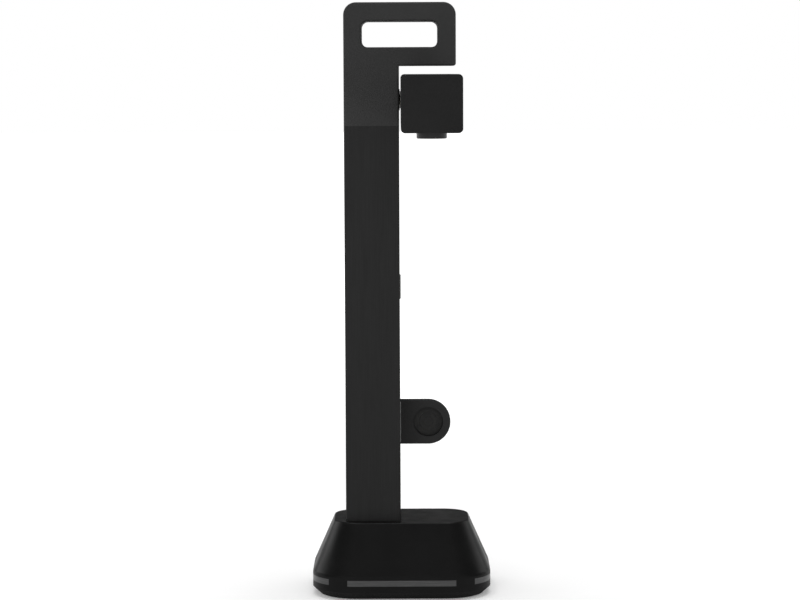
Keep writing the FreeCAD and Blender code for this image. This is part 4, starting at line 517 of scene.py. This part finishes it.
# %% Lens ring with stepped baffles
RING, WINDOW, SEAT_EDGE, GROOVE_IN, GROOVE_OUT = 7.8, 6.22, 5.32, 6.75, 7.0  # radii in millimetres
FLANGE_THICKNESS, SEAT_RISE, ROUNDING, GROOVE_DEPTH, GROOVE_SLOPE = 1.2, 1.2, 0.5, 0.1, 0.05
STEPS = 5
low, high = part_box("lens_bezel")
LENS = ((low.x + high.x) / 2 / MM, (low.y + high.y) / 2 / MM, 0.0)
flange = (high.x - low.x) / 2 / MM
ring_low, ring_high = low.z / MM, high.z / MM
ring_top = ring_high - FLANGE_THICKNESS
section = [(flange, ring_top), (flange, ring_high), (WINDOW, ring_high), (WINDOW, ring_low + SEAT_RISE)]
for step in range(STEPS, 0, -1):
    radius = WINDOW - (WINDOW - SEAT_EDGE) * step / STEPS
    section += [(radius, ring_low + SEAT_RISE * part / STEPS) for part in (step, step - 1)]
section += [
    (WINDOW, ring_low),
    (GROOVE_IN, ring_low),
    (GROOVE_IN + GROOVE_SLOPE, ring_low + GROOVE_DEPTH),
    (GROOVE_OUT - GROOVE_SLOPE, ring_low + GROOVE_DEPTH),
    (GROOVE_OUT, ring_low),
]
section += arc((RING - ROUNDING, ring_low + ROUNDING), ROUNDING, -90, 0, steps=5) + [(RING, ring_top)]
lens_ring = lathe("lens_ring", section, LENS)
piece("lens_ring", lens_ring, ring_abs, "arm", "gloss_black_plastic", "lens_bezel")

# %% [markdown]
# ## Lenses and barrel
#
# Behind the window sits a barrel with two lenses. Real lens faces are parts of spheres, and it is their
# curved highlight that makes a lens look like one, so the flat discs are replaced. The barrel screws
# into its holder, which is how such a camera is focused: its thread and its stepped mouth are cut too.

# %% Curved lenses
LENS_RADIUS, CROWN, ARC_STEPS = 3.56, 0.36, 10
TINY = 1e-9  # smaller than any real length here


def lens_section(low, high, radius, crown):
    """Half the section of a lens that bulges by crown on both faces."""
    bend = (radius**2 + crown**2) / (2 * crown)
    half_angle = math.degrees(math.asin(radius / bend))
    lower = arc((0, low + bend), bend, -90, -90 + half_angle, ARC_STEPS)
    upper = arc((0, high - bend), bend, 90 - half_angle, 90, ARC_STEPS)
    return [(0.0 if x < TINY else x, z) for x, z in lower + upper]  # exactly on the axis at its ends


for name in ("front_lens", "rear_lens"):
    low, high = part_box(name)
    section = lens_section(low.z / MM, high.z / MM, LENS_RADIUS, CROWN)
    mesh = lathe(name + "_curved", section, LENS, closed=False)
    piece(name + "_curved", mesh, glass, "arm", "clear_glass", name)

# %% Threaded barrel
BORE, BARREL, CHAMFER, MOUTH_STEP, MOUTH_STEPS = 3.6, 5.0, 0.15, 0.25, 4
THREAD_START, RUN_IN, PITCH, THREAD_DEPTH, THREAD_END = 4.2, 0.2, 0.5, 0.22, 0.2
low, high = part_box("lens_barrel")
mouth, back = low.z / MM, high.z / MM
section = [(BORE, back)]
for step in range(MOUTH_STEPS):
    inner, height = BORE + MOUTH_STEP * step, mouth + MOUTH_STEP * (MOUTH_STEPS - step)
    section += [(inner, height), (inner + MOUTH_STEP, height)]
section += [(BORE + MOUTH_STEP * MOUTH_STEPS, mouth), (BARREL - CHAMFER, mouth)]
section += [(BARREL, mouth + CHAMFER), (BARREL, mouth + THREAD_START - RUN_IN)]
for turn in range(int((back - mouth - THREAD_START) / PITCH)):
    height = mouth + THREAD_START + PITCH * turn
    section += [(BARREL - THREAD_DEPTH, height), (BARREL, height + PITCH / 2)]
section += [(BARREL - THREAD_END, back)]
barrel = lathe("lens_barrel_threaded", section, LENS)
piece("lens_barrel_threaded", barrel, die_metal, "arm", "black_aluminium", "lens_barrel")

# %% [markdown]
# ## The pad in the parking dish
#
# When the arm is folded down, the lens ring comes to rest in the round dish of the lens rest. A thin
# rubber disc lies at its bottom so that nothing scratches. It has a rounded rim and two shallow rings.

# %% Pad of the dish
PAD_GROOVES, PAD_ROUNDING, PAD_GROOVE_DEPTH = (5.6, 2.8), 0.2, 0.15
HALF_OPEN, HALF_FLOOR = 0.35, 0.2  # half a groove's width at the face and at its bottom
low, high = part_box("lens_rest_pad")
front, back = low.y / MM, high.y / MM
bottom = front + PAD_GROOVE_DEPTH
radius = (high.x - low.x) / 2 / MM
section = [(0.0, back), (radius, back)]
section += arc((radius - PAD_ROUNDING, front + PAD_ROUNDING), PAD_ROUNDING, 0, -90, steps=4)
for groove in PAD_GROOVES:
    section += [(groove + HALF_OPEN, front), (groove + HALF_FLOOR, bottom)]
    section += [(groove - HALF_FLOOR, bottom), (groove - HALF_OPEN, front)]
section += [(0.0, front)]
dish = (LENS[0], 0.0, (low.z + high.z) / 2 / MM)
dish_pad = lathe("dish_pad", section, dish, "Y", closed=False)
piece("dish_pad", dish_pad, rubber, "base", "soft_rubber", "lens_rest_pad")

# %% [markdown]
# ## The bead at the lens rest
#
# In the photograph a thin lighter line stands where the lens rest meets the column, a highlight along the
# column's edge. Here it is painted as a pale bead that closes the joint: a short rod with round ends that
# lies against the column's side, half sunk into the rest, drawn as a curve with a round section and then
# made a mesh.

# %% Bead between rest and column
# the bead is a painted highlight, a pale rod where the column's edge catches light
BEAD, END_GAP, PROUD, INTO_REST = 0.25 * MM, 1.4 * MM, 0.04 * MM, 0.1 * MM
ROUND_END = ((BEAD, 0.3), (BEAD * 0.6, 0.8), (0, 1))  # how far past the straight run, and how thick
column_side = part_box("column_tube")[1].x
low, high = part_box("lens_rest")
path = bpy.data.curves.new("rest_bead", "CURVE")
path.dimensions = "3D"
path.bevel_depth = BEAD
path.bevel_resolution = 3
path.use_fill_caps = True
stations = [(low.z + END_GAP - past, share) for past, share in ROUND_END]
stations += [(high.z - END_GAP + past, share) for past, share in reversed(ROUND_END)]
spline = path.splines.new("POLY")
spline.points.add(len(stations) - 1)
for point, (height, share) in zip(spline.points, stations):
    point.co = (column_side + PROUD, low.y + INTO_REST, height, 1)
    point.radius = share
holder = bpy.data.objects.new("rest_bead_path", path)
scene.collection.objects.link(holder)
bead = bpy.data.meshes.new_from_object(holder)
bpy.data.objects.remove(holder)
piece("rest_bead", bead, bead_painted_highlight_elastomer, "base", "soft_rubber")

# %% [markdown]
# ## Plates with rounded corners
#
# The lamp's pane and the anti-slip pad are flat plates with rounded corners. Both carry a pattern that
# is really there: the pane has small pyramids that spread the lamp's light, and the pad stands on
# hundreds of small studs. Such repeats are made with Geometry Nodes: a cone is set on every point of a
# grid. One tree serves both, with the cone's sizes as its inputs.

# %% Rounded plate
CORNER_STEPS = 8
OVERLAP = 0.01 * MM  # how far pieces that touch reach into each other
print("a corner is an arc of", CORNER_STEPS, "steps")


def rounded_plate(name, low, high, radius, edge=0.0):
    """A plate between two corners, in metres, with rounded corners and bevelled edges."""
    outline = []
    for turn, (x, y) in enumerate(((1, 1), (0, 1), (0, 0), (1, 0))):
        centre = (high.x - radius if x else low.x + radius, high.y - radius if y else low.y + radius)
        outline += arc(centre, radius, 90 * turn, 90 * turn + 90, CORNER_STEPS)
    work = bmesh.new()
    face = work.faces.new([work.verts.new((x, y, low.z)) for x, y in outline])
    grown = bmesh.ops.extrude_face_region(work, geom=[face])["geom"]
    lifted = [v for v in grown if isinstance(v, bmesh.types.BMVert)]
    bmesh.ops.translate(work, verts=lifted, vec=(0, 0, high.z - low.z))
    if edge:
        rims = [e for e in work.edges if abs(e.verts[0].co.z - e.verts[1].co.z) < TINY]
        bmesh.ops.bevel(work, geom=rims, offset=edge, segments=2, profile=0.5, affect="EDGES")
    return to_mesh(name, work)


# %% Geometry Nodes helpers
KINDS = {"Geometry": "NodeSocketGeometry", "Sides": "NodeSocketInt"}
KINDS.update({"Turn": "NodeSocketRotation", "Material": "NodeSocketMaterial"})
print("inputs that aren't plain numbers:", ", ".join(KINDS))


def geometry_tree(name, *sizes):
    """An empty tree with named sizes, a turn and a material as its inputs, and those inputs."""
    tree = bpy.data.node_groups.new(name, "GeometryNodeTree")
    for label in ("Geometry", *sizes, "Turn", "Material"):
        kind = KINDS.get(label, "NodeSocketFloat")
        tree.interface.new_socket(label, in_out="INPUT", socket_type=kind)
    tree.interface.new_socket("Geometry", in_out="OUTPUT", socket_type=KINDS["Geometry"])
    print(f"tree {name}: {', '.join(sizes)}")
    return tree, add(tree, "NodeGroupInput").outputs


def set_on_points(tree, given, shape):
    """Ends a tree: the shape on every point, made real, in the material that is given."""
    spread = {"Points": given["Geometry"], "Instance": shape, "Rotation": given["Turn"]}
    instances = add(tree, "GeometryNodeInstanceOnPoints", spread).outputs["Instances"]
    real = add(tree, "GeometryNodeRealizeInstances", {"Geometry": instances}).outputs["Geometry"]
    finish = {"Geometry": real, "Material": given["Material"]}
    finished = add(tree, "GeometryNodeSetMaterial", finish).outputs["Geometry"]
    add(tree, "NodeGroupOutput", {"Geometry": finished})


def run_tree(name, tree, points, finish, **sizes):
    """Runs a tree on a set of points, in metres, and gives the plain mesh."""
    cloud = bpy.data.meshes.new(name + "_points")
    cloud.from_pydata([tuple(p) for p in points], [], [])
    holder = bpy.data.objects.new(name + "_points", cloud)
    scene.collection.objects.link(holder)
    modifier = holder.modifiers.new("rule", "NODES")
    modifier.node_group = tree
    values = {key.replace("_", " ").capitalize(): value for key, value in sizes.items()}
    values["Material"] = finish
    for socket in tree.interface.items_tree:
        if socket.in_out == "INPUT" and socket.name in values:
            modifier[socket.identifier] = values[socket.name]
    depsgraph = bpy.context.evaluated_depsgraph_get()
    mesh = bpy.data.meshes.new_from_object(holder.evaluated_get(depsgraph))
    mesh.name = name
    holder.modifiers.clear()
    bpy.data.objects.remove(holder)
    return mesh


# %% A tree of studs
stud_tree, given = geometry_tree("studs", "Sides", "Tip radius", "Foot radius", "Height")
cone = {
    "Vertices": given["Sides"],
    "Radius Top": given["Foot radius"],
    "Radius Bottom": given["Tip radius"],
    "Depth": given["Height"],
}
set_on_points(stud_tree, given, add(stud_tree, "GeometryNodeMeshCone", cone).outputs["Mesh"])

# %% Anti-slip pad on its studs
low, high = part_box("anti_slip_pad")
PAD_CORNER, STUD_PITCH, STUD_HEIGHT, FIELD_EDGE = 20.47 * MM, 2.6 * MM, 0.3 * MM, 1.8 * MM
plate_low = Vector((low.x, low.y, low.z + STUD_HEIGHT - OVERLAP))


def inside_pad(x, y, margin):
    """Whether a point lies inside the pad's outline by a margin."""
    corner_x = max(abs(x) - (high.x - PAD_CORNER), 0)
    corner_y = max(abs(y) - (high.y - PAD_CORNER), 0)
    return math.hypot(corner_x, corner_y) < PAD_CORNER - margin


columns, rows = int(high.x / STUD_PITCH), int(high.y / STUD_PITCH * 2 / math.sqrt(3))
points = []
for row in range(-rows, rows + 1):
    for column in range(-columns, columns + 1):
        x = (column + 0.5 * (row % 2)) * STUD_PITCH
        y = row * STUD_PITCH * math.sqrt(3) / 2
        if inside_pad(x, y, FIELD_EDGE):
            points.append((x, y, 0.0))
studs = run_tree(
    "pad_studs", stud_tree, points, rubber,
    sides=8, tip_radius=0.65 * MM, foot_radius=0.9 * MM, height=STUD_HEIGHT, turn=(0, 0, 0),
)
plate = rounded_plate("pad_plate", plate_low, high, PAD_CORNER, edge=0.12 * MM)
piece("studded_pad", merged("studded_pad", plate, studs), rubber, "base", "soft_rubber", "anti_slip_pad")
print("studs:", len(points))

# %% Lamp pane with its pyramids
low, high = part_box("led_diffuser")
PANE_THICKNESS, PANE_INSET, PRISM_PITCH, PRISM_HEIGHT = 2.0 * MM, 1.15 * MM, 1.0 * MM, 0.35 * MM
PANE_CORNER, RIM_CORNER = 1.85 * MM, 2.0 * MM
HALF_DIAGONAL = 0.7  # of a pyramid's foot, for a pitch of 1: the feet nearly meet
flange_low = low.z + PANE_THICKNESS
pane_low = Vector((low.x + PANE_INSET, low.y + PANE_INSET, low.z + PRISM_HEIGHT))
pane_high = Vector((high.x - PANE_INSET, high.y - PANE_INSET, flange_low + OVERLAP))
pane = rounded_plate("pane", pane_low, pane_high, PANE_CORNER)
rim_low = Vector((low.x, low.y, flange_low))
rim = rounded_plate("pane_rim", rim_low, high, RIM_CORNER, edge=0.1 * MM)
middle = (low + high) / 2
across, lengthways = (int((pane_high[i] - pane_low[i]) / PRISM_PITCH) for i in (0, 1))
columns = [middle.x + (i - (across - 1) / 2) * PRISM_PITCH for i in range(across)]
rows = [middle.y + (i - (lengthways - 1) / 2) * PRISM_PITCH for i in range(lengthways)]
corners = {(x, y) for x in (columns[0], columns[-1]) for y in (rows[0], rows[-1])}
points = [(x, y, low.z) for x in columns for y in rows if (x, y) not in corners]
prisms = run_tree(
    "pane_prisms", stud_tree, points, frosted,
    sides=4, tip_radius=0.0, foot_radius=PRISM_PITCH * HALF_DIAGONAL,
    height=PRISM_HEIGHT + OVERLAP, turn=(0, 0, math.radians(45)),
)
prism_pane = merged("prism_pane", pane, rim, prisms)
piece("prism_pane", prism_pane, frosted, "arm", "frosted_plastic", "led_diffuser")
print("pyramids:", len(points))

# %% [markdown]
# ## Contacts of the socket
#
# Inside the socket's steel sheath is a blade with twelve gold contacts on each side, half a millimetre
# apart. Each is a narrow strip whose nose dips into the blade, so that the plug slides over it. In the
# tree, a short line is bent at its first point and a flat rectangle follows it.

# %% A tree of contacts
STATIONS, NOSE_END = 9, 0.5  # points along a contact, and its nose: only point 0 comes before a half
tree, given = geometry_tree("contacts", "Length", "Width", "Thickness")
end = add(tree, "ShaderNodeCombineXYZ", {"Y": given["Length"]}).outputs["Vector"]
line = add(tree, "GeometryNodeCurvePrimitiveLine", {"Start": (0, 0, 0), "End": end}).outputs["Curve"]
strip = add(tree, "GeometryNodeResampleCurve", {"Curve": line, "Count": STATIONS}).outputs["Curve"]
index = add(tree, "GeometryNodeInputIndex").outputs["Index"]
is_nose = add(tree, "ShaderNodeMath", {0: index, 1: NOSE_END}, operation="LESS_THAN").outputs[0]
drop = add(tree, "ShaderNodeMath", {0: given["Thickness"], 1: -1.0}, operation="MULTIPLY").outputs[0]
dip = add(tree, "ShaderNodeCombineXYZ", {"Z": drop}).outputs["Vector"]
bent = {"Geometry": strip, "Selection": is_nose, "Offset": dip}
nosed = add(tree, "GeometryNodeSetPosition", bent).outputs["Geometry"]
outline = {"Width": given["Width"], "Height": given["Thickness"]}
flat = add(tree, "GeometryNodeCurvePrimitiveQuadrilateral", outline).outputs["Curve"]
swept = {"Curve": nosed, "Profile Curve": flat, "Fill Caps": True}
set_on_points(tree, given, add(tree, "GeometryNodeCurveToMesh", swept).outputs["Mesh"])

# %% Two rows of gold contacts
low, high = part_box("usb_socket")
middle_x, middle_z = (low.x + high.x) / 2, (low.z + high.z) / 2
BLADE_HALF, CONTACT_PITCH, CONTACT_LENGTH, NOSE_DEPTH = 0.35 * MM, 0.5 * MM, 4.0 * MM, 1.4 * MM
CONTACTS = 12
places = [middle_x + (i - (CONTACTS - 1) / 2) * CONTACT_PITCH for i in range(CONTACTS)]
rows = []
for side in (1, -1):
    points = [(x, high.y - NOSE_DEPTH, middle_z + side * BLADE_HALF) for x in places]
    turn = (0, 0, math.pi) if side > 0 else (math.pi, 0, 0)
    rows.append(run_tree(
        "contact_row", tree, points, gold,
        length=CONTACT_LENGTH, width=0.25 * MM, thickness=0.1 * MM, turn=turn,
    ))
piece("usb_contacts", merged("usb_contacts", *rows), gold, "base", "bright_steel")

# %% [markdown]
# ## Screws
#
# A small screw has a low domed head with a six-sided socket, and a shank with a rolled thread. The
# solids mark every screw's place. Here each set is made again by one Geometry Nodes tree with the
# screw's real sizes as inputs: a line whose radius swells and shrinks along it becomes the threaded
# shank, another the domed head, and a hexagon is cut out of the head. The thread's turns are drawn as
# rings, which can't be told from a helix at this size.

# %% A tree for screws, and a rod in it
SCREW_SIZES = ("Head radius", "Head height", "Shank radius", "Length", "Pitch")
tree, given = geometry_tree("screws", *SCREW_SIZES)
index = add(tree, "GeometryNodeInputIndex").outputs["Index"]


def turned_rod(tree, length, rings, radius, sides):
    """A rod along Z whose rings follow a radius, with closed ends."""
    far = add(tree, "ShaderNodeCombineXYZ", {"Z": length}).outputs["Vector"]
    ends = {"Start": (0, 0, 0), "End": far}
    line = add(tree, "GeometryNodeCurvePrimitiveLine", ends).outputs["Curve"]
    stations = {"Curve": line, "Count": rings}
    divided = add(tree, "GeometryNodeResampleCurve", stations).outputs["Curve"]
    unit = {"Resolution": sides, "Radius": 1.0}
    circle = add(tree, "GeometryNodeCurvePrimitiveCircle", unit).outputs["Curve"]
    swept = {"Curve": divided, "Profile Curve": circle, "Scale": radius, "Fill Caps": True}
    return add(tree, "GeometryNodeCurveToMesh", swept).outputs["Mesh"]


# %% The shank of a screw
# Every second ring is a crest of the thread, and the last ones shrink to the tip.
CREST, ROOT = 1.0, 0.8  # shares of the shank's radius
TIP, TIP_GROWTH = 0.35, 0.25  # the share that is left past the tip, and its growth from ring to ring
SHANK_SIDES = 10
length, pitch = given["Length"], given["Pitch"]
down = add(tree, "ShaderNodeMath", {0: length, 1: -1.0}, operation="MULTIPLY").outputs[0]
turns = add(tree, "ShaderNodeMath", {0: length, 1: pitch}, operation="DIVIDE").outputs[0]
two_a_turn = {0: turns, 1: 2.0, 2: 1.0}
rings = add(tree, "ShaderNodeMath", two_a_turn, operation="MULTIPLY_ADD").outputs[0]
odd = add(tree, "ShaderNodeMath", {0: index, 1: 2.0}, operation="MODULO").outputs[0]
rise = {0: odd, 1: CREST - ROOT, 2: ROOT}
crest = add(tree, "ShaderNodeMath", rise, operation="MULTIPLY_ADD").outputs[0]
from_tip = add(tree, "ShaderNodeMath", {0: rings, 1: index}, operation="SUBTRACT").outputs[0]
growth = {0: from_tip, 1: TIP_GROWTH, 2: TIP}
taper = add(tree, "ShaderNodeMath", growth, operation="MULTIPLY_ADD").outputs[0]
narrow = add(tree, "ShaderNodeMath", {0: taper, 1: 1.0}, operation="MINIMUM").outputs[0]
shaped = add(tree, "ShaderNodeMath", {0: crest, 1: narrow}, operation="MULTIPLY").outputs[0]
full = {0: shaped, 1: given["Shank radius"]}
radius = add(tree, "ShaderNodeMath", full, operation="MULTIPLY").outputs[0]
shank = turned_rod(tree, down, rings, radius, SHANK_SIDES)
print("thread cut to", ROOT, "of the shank's radius")

# %% The head of a screw
# It is a low dome with a flat top, out of which the key's hexagon is cut.
DOME_RINGS, DOME_SIDES, DOME_NARROWING, DOME_CURVE = 7, 24, 0.42, 3.0
KEY_RADIUS, KEY_FLOOR = 0.42, 0.45  # shares of the head's radius and of its height
tall, wide = given["Head height"], given["Head radius"]
share = add(tree, "ShaderNodeMath", {0: index, 1: DOME_RINGS - 1}, operation="DIVIDE").outputs[0]
curve = add(tree, "ShaderNodeMath", {0: share, 1: DOME_CURVE}, operation="POWER").outputs[0]
inwards = {0: curve, 1: -DOME_NARROWING, 2: 1.0}
dome = add(tree, "ShaderNodeMath", inwards, operation="MULTIPLY_ADD").outputs[0]
radius = add(tree, "ShaderNodeMath", {0: dome, 1: wide}, operation="MULTIPLY").outputs[0]
head = turned_rod(tree, tall, DOME_RINGS, radius, DOME_SIDES)
hollow = add(tree, "ShaderNodeMath", {0: wide, 1: KEY_RADIUS}, operation="MULTIPLY").outputs[0]
key = {"Vertices": 6, "Depth": tall, "Radius Top": hollow, "Radius Bottom": hollow}
hexagon = add(tree, "GeometryNodeMeshCone", key).outputs["Mesh"]
depth = add(tree, "ShaderNodeMath", {0: tall, 1: KEY_FLOOR}, operation="MULTIPLY").outputs[0]
lift = add(tree, "ShaderNodeCombineXYZ", {"Z": depth}).outputs["Vector"]
lifted = {"Geometry": hexagon, "Translation": lift}
cutter = add(tree, "GeometryNodeTransform", lifted).outputs["Geometry"]
both = {"Mesh 1": head, "Mesh 2": cutter}
cut = add(tree, "GeometryNodeMeshBoolean", both, operation="DIFFERENCE")
screw = add(tree, "GeometryNodeJoinGeometry", {"Geometry": shank})
tree.links.new(cut.outputs["Mesh"], screw.inputs["Geometry"])
set_on_points(tree, given, screw.outputs["Geometry"])
screw_tree = tree
print("screw tree has", len(tree.nodes), "nodes")

# %% [markdown]
# ## Setting the screws
#
# Every screw of a set is one island of its solid's mesh. A merged copy of that mesh tells where each one
# starts and ends, so nothing is placed by hand. The solids' own screws then aren't shown.

# %% Screws in their places
SAME_POINT = 0.001 * MM


def islands(name):
    """The lowest and highest corner of each separate part of a solid, in the same order each time."""
    work = bmesh.new()
    work.from_mesh(frame["nodes"][name].data)
    bmesh.ops.remove_doubles(work, verts=work.verts, dist=SAME_POINT)
    left, boxes = set(work.verts), []
    while left:
        seen = {left.pop()}
        waiting = list(seen)
        while waiting:
            vert = waiting.pop()
            near = {edge.other_vert(vert) for edge in vert.link_edges} - seen
            seen |= near
            waiting += near
        left -= seen
        corners = [[v.co[i] for v in seen] for i in range(3)]
        boxes.append((Vector(min(c) for c in corners), Vector(max(c) for c in corners)))
    work.free()
    return sorted(boxes, key=lambda box: tuple(box[0]))


# Each set: the way its heads face, its head's radius and height, shank's radius and pitch in
# millimetres, its body and its slot.
SCREW_SETS = {
    "base_tray_screws": ("-Z", 2.7, 1.2, 1.4, 0.9, "base", "steel"),
    "column_foot_screws": ("-Z", 2.7, 1.2, 1.5, 0.9, "base", "steel"),
    "main_board_screws": ("+Z", 2.0, 1.6, 1.15, 0.8, "base", "steel"),
    "column_screws": ("+Y", 2.3, 1.0, 1.2, 0.7, "base", "steel"),
    "hinge_bracket_screws": ("+Y", 2.3, 1.0, 1.2, 0.7, "base", "black_steel"),
    "lens_rest_screws": ("+Y", 2.3, 1.0, 1.2, 0.7, "base", "black_steel"),
    "handle_screws": ("+Y", 2.3, 1.6, 1.3, 0.9, "base", "black_steel"),
    "button_board_screws": ("-X", 1.75, 1.1, 0.9, 0.6, "base", "steel"),
    "hub_screws": ("+X", 1.6, 0.9, 0.9, 0.6, "arm", "steel"),
    "arm_cover_screws": ("-Z", 1.9, 1.0, 1.1, 0.7, "arm", "black_steel"),
    "camera_board_screws": ("-Z", 1.75, 1.1, 0.9, 0.6, "arm", "steel"),
    "led_board_screws": ("+Z", 1.75, 1.1, 0.9, 0.6, "arm", "steel"),
}
TURNS = {
    "+Z": (0, 0, 0),
    "-Z": (math.pi, 0, 0),
    "+Y": (-math.pi / 2, 0, 0),
    "+X": (0, math.pi / 2, 0),
    "-X": (0, -math.pi / 2, 0),
}
for name, (facing, head, height, shank, pitch, body, slot_name) in SCREW_SETS.items():
    axis, finish = "XYZ".index(facing[1]), BY_SLOT[slot_name]
    points, lengths = [], []
    for low, high in islands(name):
        seat = (low + high) / 2
        seat[axis] = high[axis] - height * MM if facing[0] == "+" else low[axis] + height * MM
        points.append(seat)
        lengths.append(high[axis] - low[axis] - height * MM)
    screws = run_tree(
        name, screw_tree, points, finish,
        head_radius=head * MM, head_height=height * MM, shank_radius=shank * MM,
        length=min(lengths), pitch=pitch * MM, turn=TURNS[facing],
    )
    piece(name.replace("screws", "screw_set"), screws, finish, body, slot_name, name)

# %% [markdown]
# ## Floor, backdrop and light
#
# The scanner stands on a white table in a white studio. The floor is a wide pale disc that takes the
# soft shadow. Towards its edge, and in the world above, what the camera and the glossy faces see rises
# to white, so that no horizon shows. Close by, glossy faces see a greyer sheet, as if the scanner stood
# on a grey card, because the photographed base mirrors no white table. From below the floor is clear,
# so that the scanner's underside can be looked at.
#
# Higher up the studio is dim, as the room over a white sweep is: this keeps the glossy base dark on top.
# It is a little lighter in front, behind the camera, and that sets the base's front off from its darker
# corners. That light depends only on a direction in the room.

# %% Floor
FLOOR_RADIUS, FLOOR_SIDES = 12.0, 96
floor_mesh = bmesh.new()
bmesh.ops.create_circle(floor_mesh, cap_ends=True, segments=FLOOR_SIDES, radius=FLOOR_RADIUS)
floor = bpy.data.objects.new("floor", to_mesh("floor", floor_mesh))
scene.collection.objects.link(floor)
print("floor:", 2 * FLOOR_RADIUS, "m across")

# %% Paper on the floor
GLOW_START, GLOW_END, NEAR_GLOW, FAR_GLOW = 0.3, 1.6, 0.16, 0.9  # metres, and strengths
paper, tree, shader, where = material("white_paper_sweep", roughness=0.9, specular_ior_level=0.1)
tint(tree, shader, patches(tree, where, 900), "#f1f1f1", "#f4f4f4")
distance = add(tree, "ShaderNodeVectorMath", {0: where}, operation="LENGTH").outputs["Value"]
reach = {"Value": distance, "From Min": GLOW_START, "From Max": GLOW_END}
reach.update({"To Min": NEAR_GLOW, "To Max": FAR_GLOW})
glow = add(tree, "ShaderNodeMapRange", reach, interpolation_type="SMOOTHSTEP").outputs["Result"]
rays = add(tree, "ShaderNodeLightPath").outputs
sheet = shader.inputs["Base Color"].links[0].from_socket
# painted shade in the floor's reflection: glossy rays see the near floor mid grey instead of white
reflected_floor_painted_shade = {FACTOR: rays["Is Glossy Ray"], FIRST: sheet, SECOND: linear("#9a9a9a")}
link(tree, add(tree, "ShaderNodeMix", reflected_floor_painted_shade, data_type="RGBA").outputs[MIXED], shader, "Base Color")
seen = rays["Is Camera Ray"]
for kind in ("Is Glossy Ray", "Is Transmission Ray"):
    seen = add(tree, "ShaderNodeMath", {0: seen, 1: rays[kind]}, operation="MAXIMUM").outputs[0]
strength = add(tree, "ShaderNodeMath", {0: seen, 1: glow}, operation="MULTIPLY").outputs[0]
shader.inputs["Emission Color"].default_value = (1, 1, 1, 1)
link(tree, strength, shader, "Emission Strength")
clear = add(tree, "ShaderNodeBsdfTransparent").outputs["BSDF"]
behind = add(tree, "ShaderNodeNewGeometry").outputs["Backfacing"]
sides = {0: behind, 1: shader.outputs["BSDF"], 2: clear}
seen_through = add(tree, "ShaderNodeMixShader", sides).outputs["Shader"]
output = next(node for node in tree.nodes if node.type == "OUTPUT_MATERIAL")
tree.links.new(seen_through, output.inputs["Surface"])
floor.data.materials.append(paper)
print("floor's glow near the scanner:", NEAR_GLOW)

# %% World
ROOM_LIGHT, STUDIO_DARK, STUDIO_FRONT = 0.45, 0.11, 0.42
FRONT_START, FRONT_FULL, SHEET_TOP, STUDIO_START = -0.3, -0.75, 0.015, 0.05  # of a direction
world = bpy.data.worlds.new("studio")
scene.world = world
world.use_nodes = True
tree = world.node_tree
tree.nodes.clear()
direction = add(tree, "ShaderNodeTexCoord").outputs["Generated"]
towards = add(tree, "ShaderNodeSeparateXYZ", {"Vector": direction}).outputs
front = {"Value": towards["Y"], "From Min": FRONT_START, "From Max": FRONT_FULL}
front.update({"To Min": STUDIO_DARK, "To Max": STUDIO_FRONT})
above = add(tree, "ShaderNodeMapRange", front, interpolation_type="SMOOTHSTEP").outputs["Result"]
fall = {"Value": towards["Z"], "From Min": SHEET_TOP, "From Max": STUDIO_START}
fall.update({"To Min": 1.0, "To Max": above})
band = add(tree, "ShaderNodeMapRange", fall, interpolation_type="SMOOTHSTEP").outputs["Result"]
rays = add(tree, "ShaderNodeLightPath").outputs
mirrored = {0: rays["Is Glossy Ray"], 1: rays["Is Transmission Ray"]}
seen = add(tree, "ShaderNodeMath", mirrored, operation="MAXIMUM").outputs[0]
level = add(tree, "ShaderNodeMix", {"Factor": seen, "A": ROOM_LIGHT, "B": band}).outputs["Result"]
level = add(tree, "ShaderNodeMath", {0: level, 1: rays["Is Camera Ray"]}, operation="MAXIMUM").outputs[0]
background = add(tree, "ShaderNodeBackground", {"Color": (1, 1, 1, 1), "Strength": level})
add(tree, "ShaderNodeOutputWorld", {"Surface": background.outputs["Background"]})
print("studio light on glossy faces:", STUDIO_DARK, "above and", STUDIO_FRONT, "in front")

# %% [markdown]
# ## Lamps
#
# A large soft box stands behind the camera and another hangs above. The front one isn't mirrored: its
# square would show in every glossy face that looks forward, and the photograph has no such square. Two
# weak boxes at the sides, which aren't mirrored either, keep the column's and the arm's sides readable.
# Two more behind light the back and draw the light rims of the base's slopes, the left one a little
# more. The power is set so that a grey card facing the camera comes out at about its own grey.

# %% Soft boxes
AIM = Vector((0, 0, 0.15))


def soft_box(name, place, size, power, mirrored=True):
    """A square area lamp that looks at the scanner and isn't seen by the camera."""
    lamp = bpy.data.lights.new(name, "AREA")
    lamp.shape, lamp.size, lamp.energy = "SQUARE", size, power
    holder = bpy.data.objects.new(name, lamp)
    scene.collection.objects.link(holder)
    holder.location = place
    holder.rotation_euler = (AIM - Vector(place)).to_track_quat("-Z", "Y").to_euler()
    holder.visible_camera = False
    holder.visible_glossy = mirrored
    print(f"{name}: {power} W")


soft_box("front_box", (-0.6, -3.6, 1.3), 2.4, 44, mirrored=False)
soft_box("top_box", (0.0, 0.2, 3.0), 2.4, 42)
soft_box("left_box", (-3.2, -0.7, 1.0), 1.8, 12, mirrored=False)
soft_box("right_box", (3.2, -0.7, 1.0), 1.8, 12, mirrored=False)
soft_box("rear_left_box", (-2.6, 1.6, 1.3), 1.8, 14)
soft_box("rear_right_box", (2.6, 1.6, 1.3), 1.8, 9)
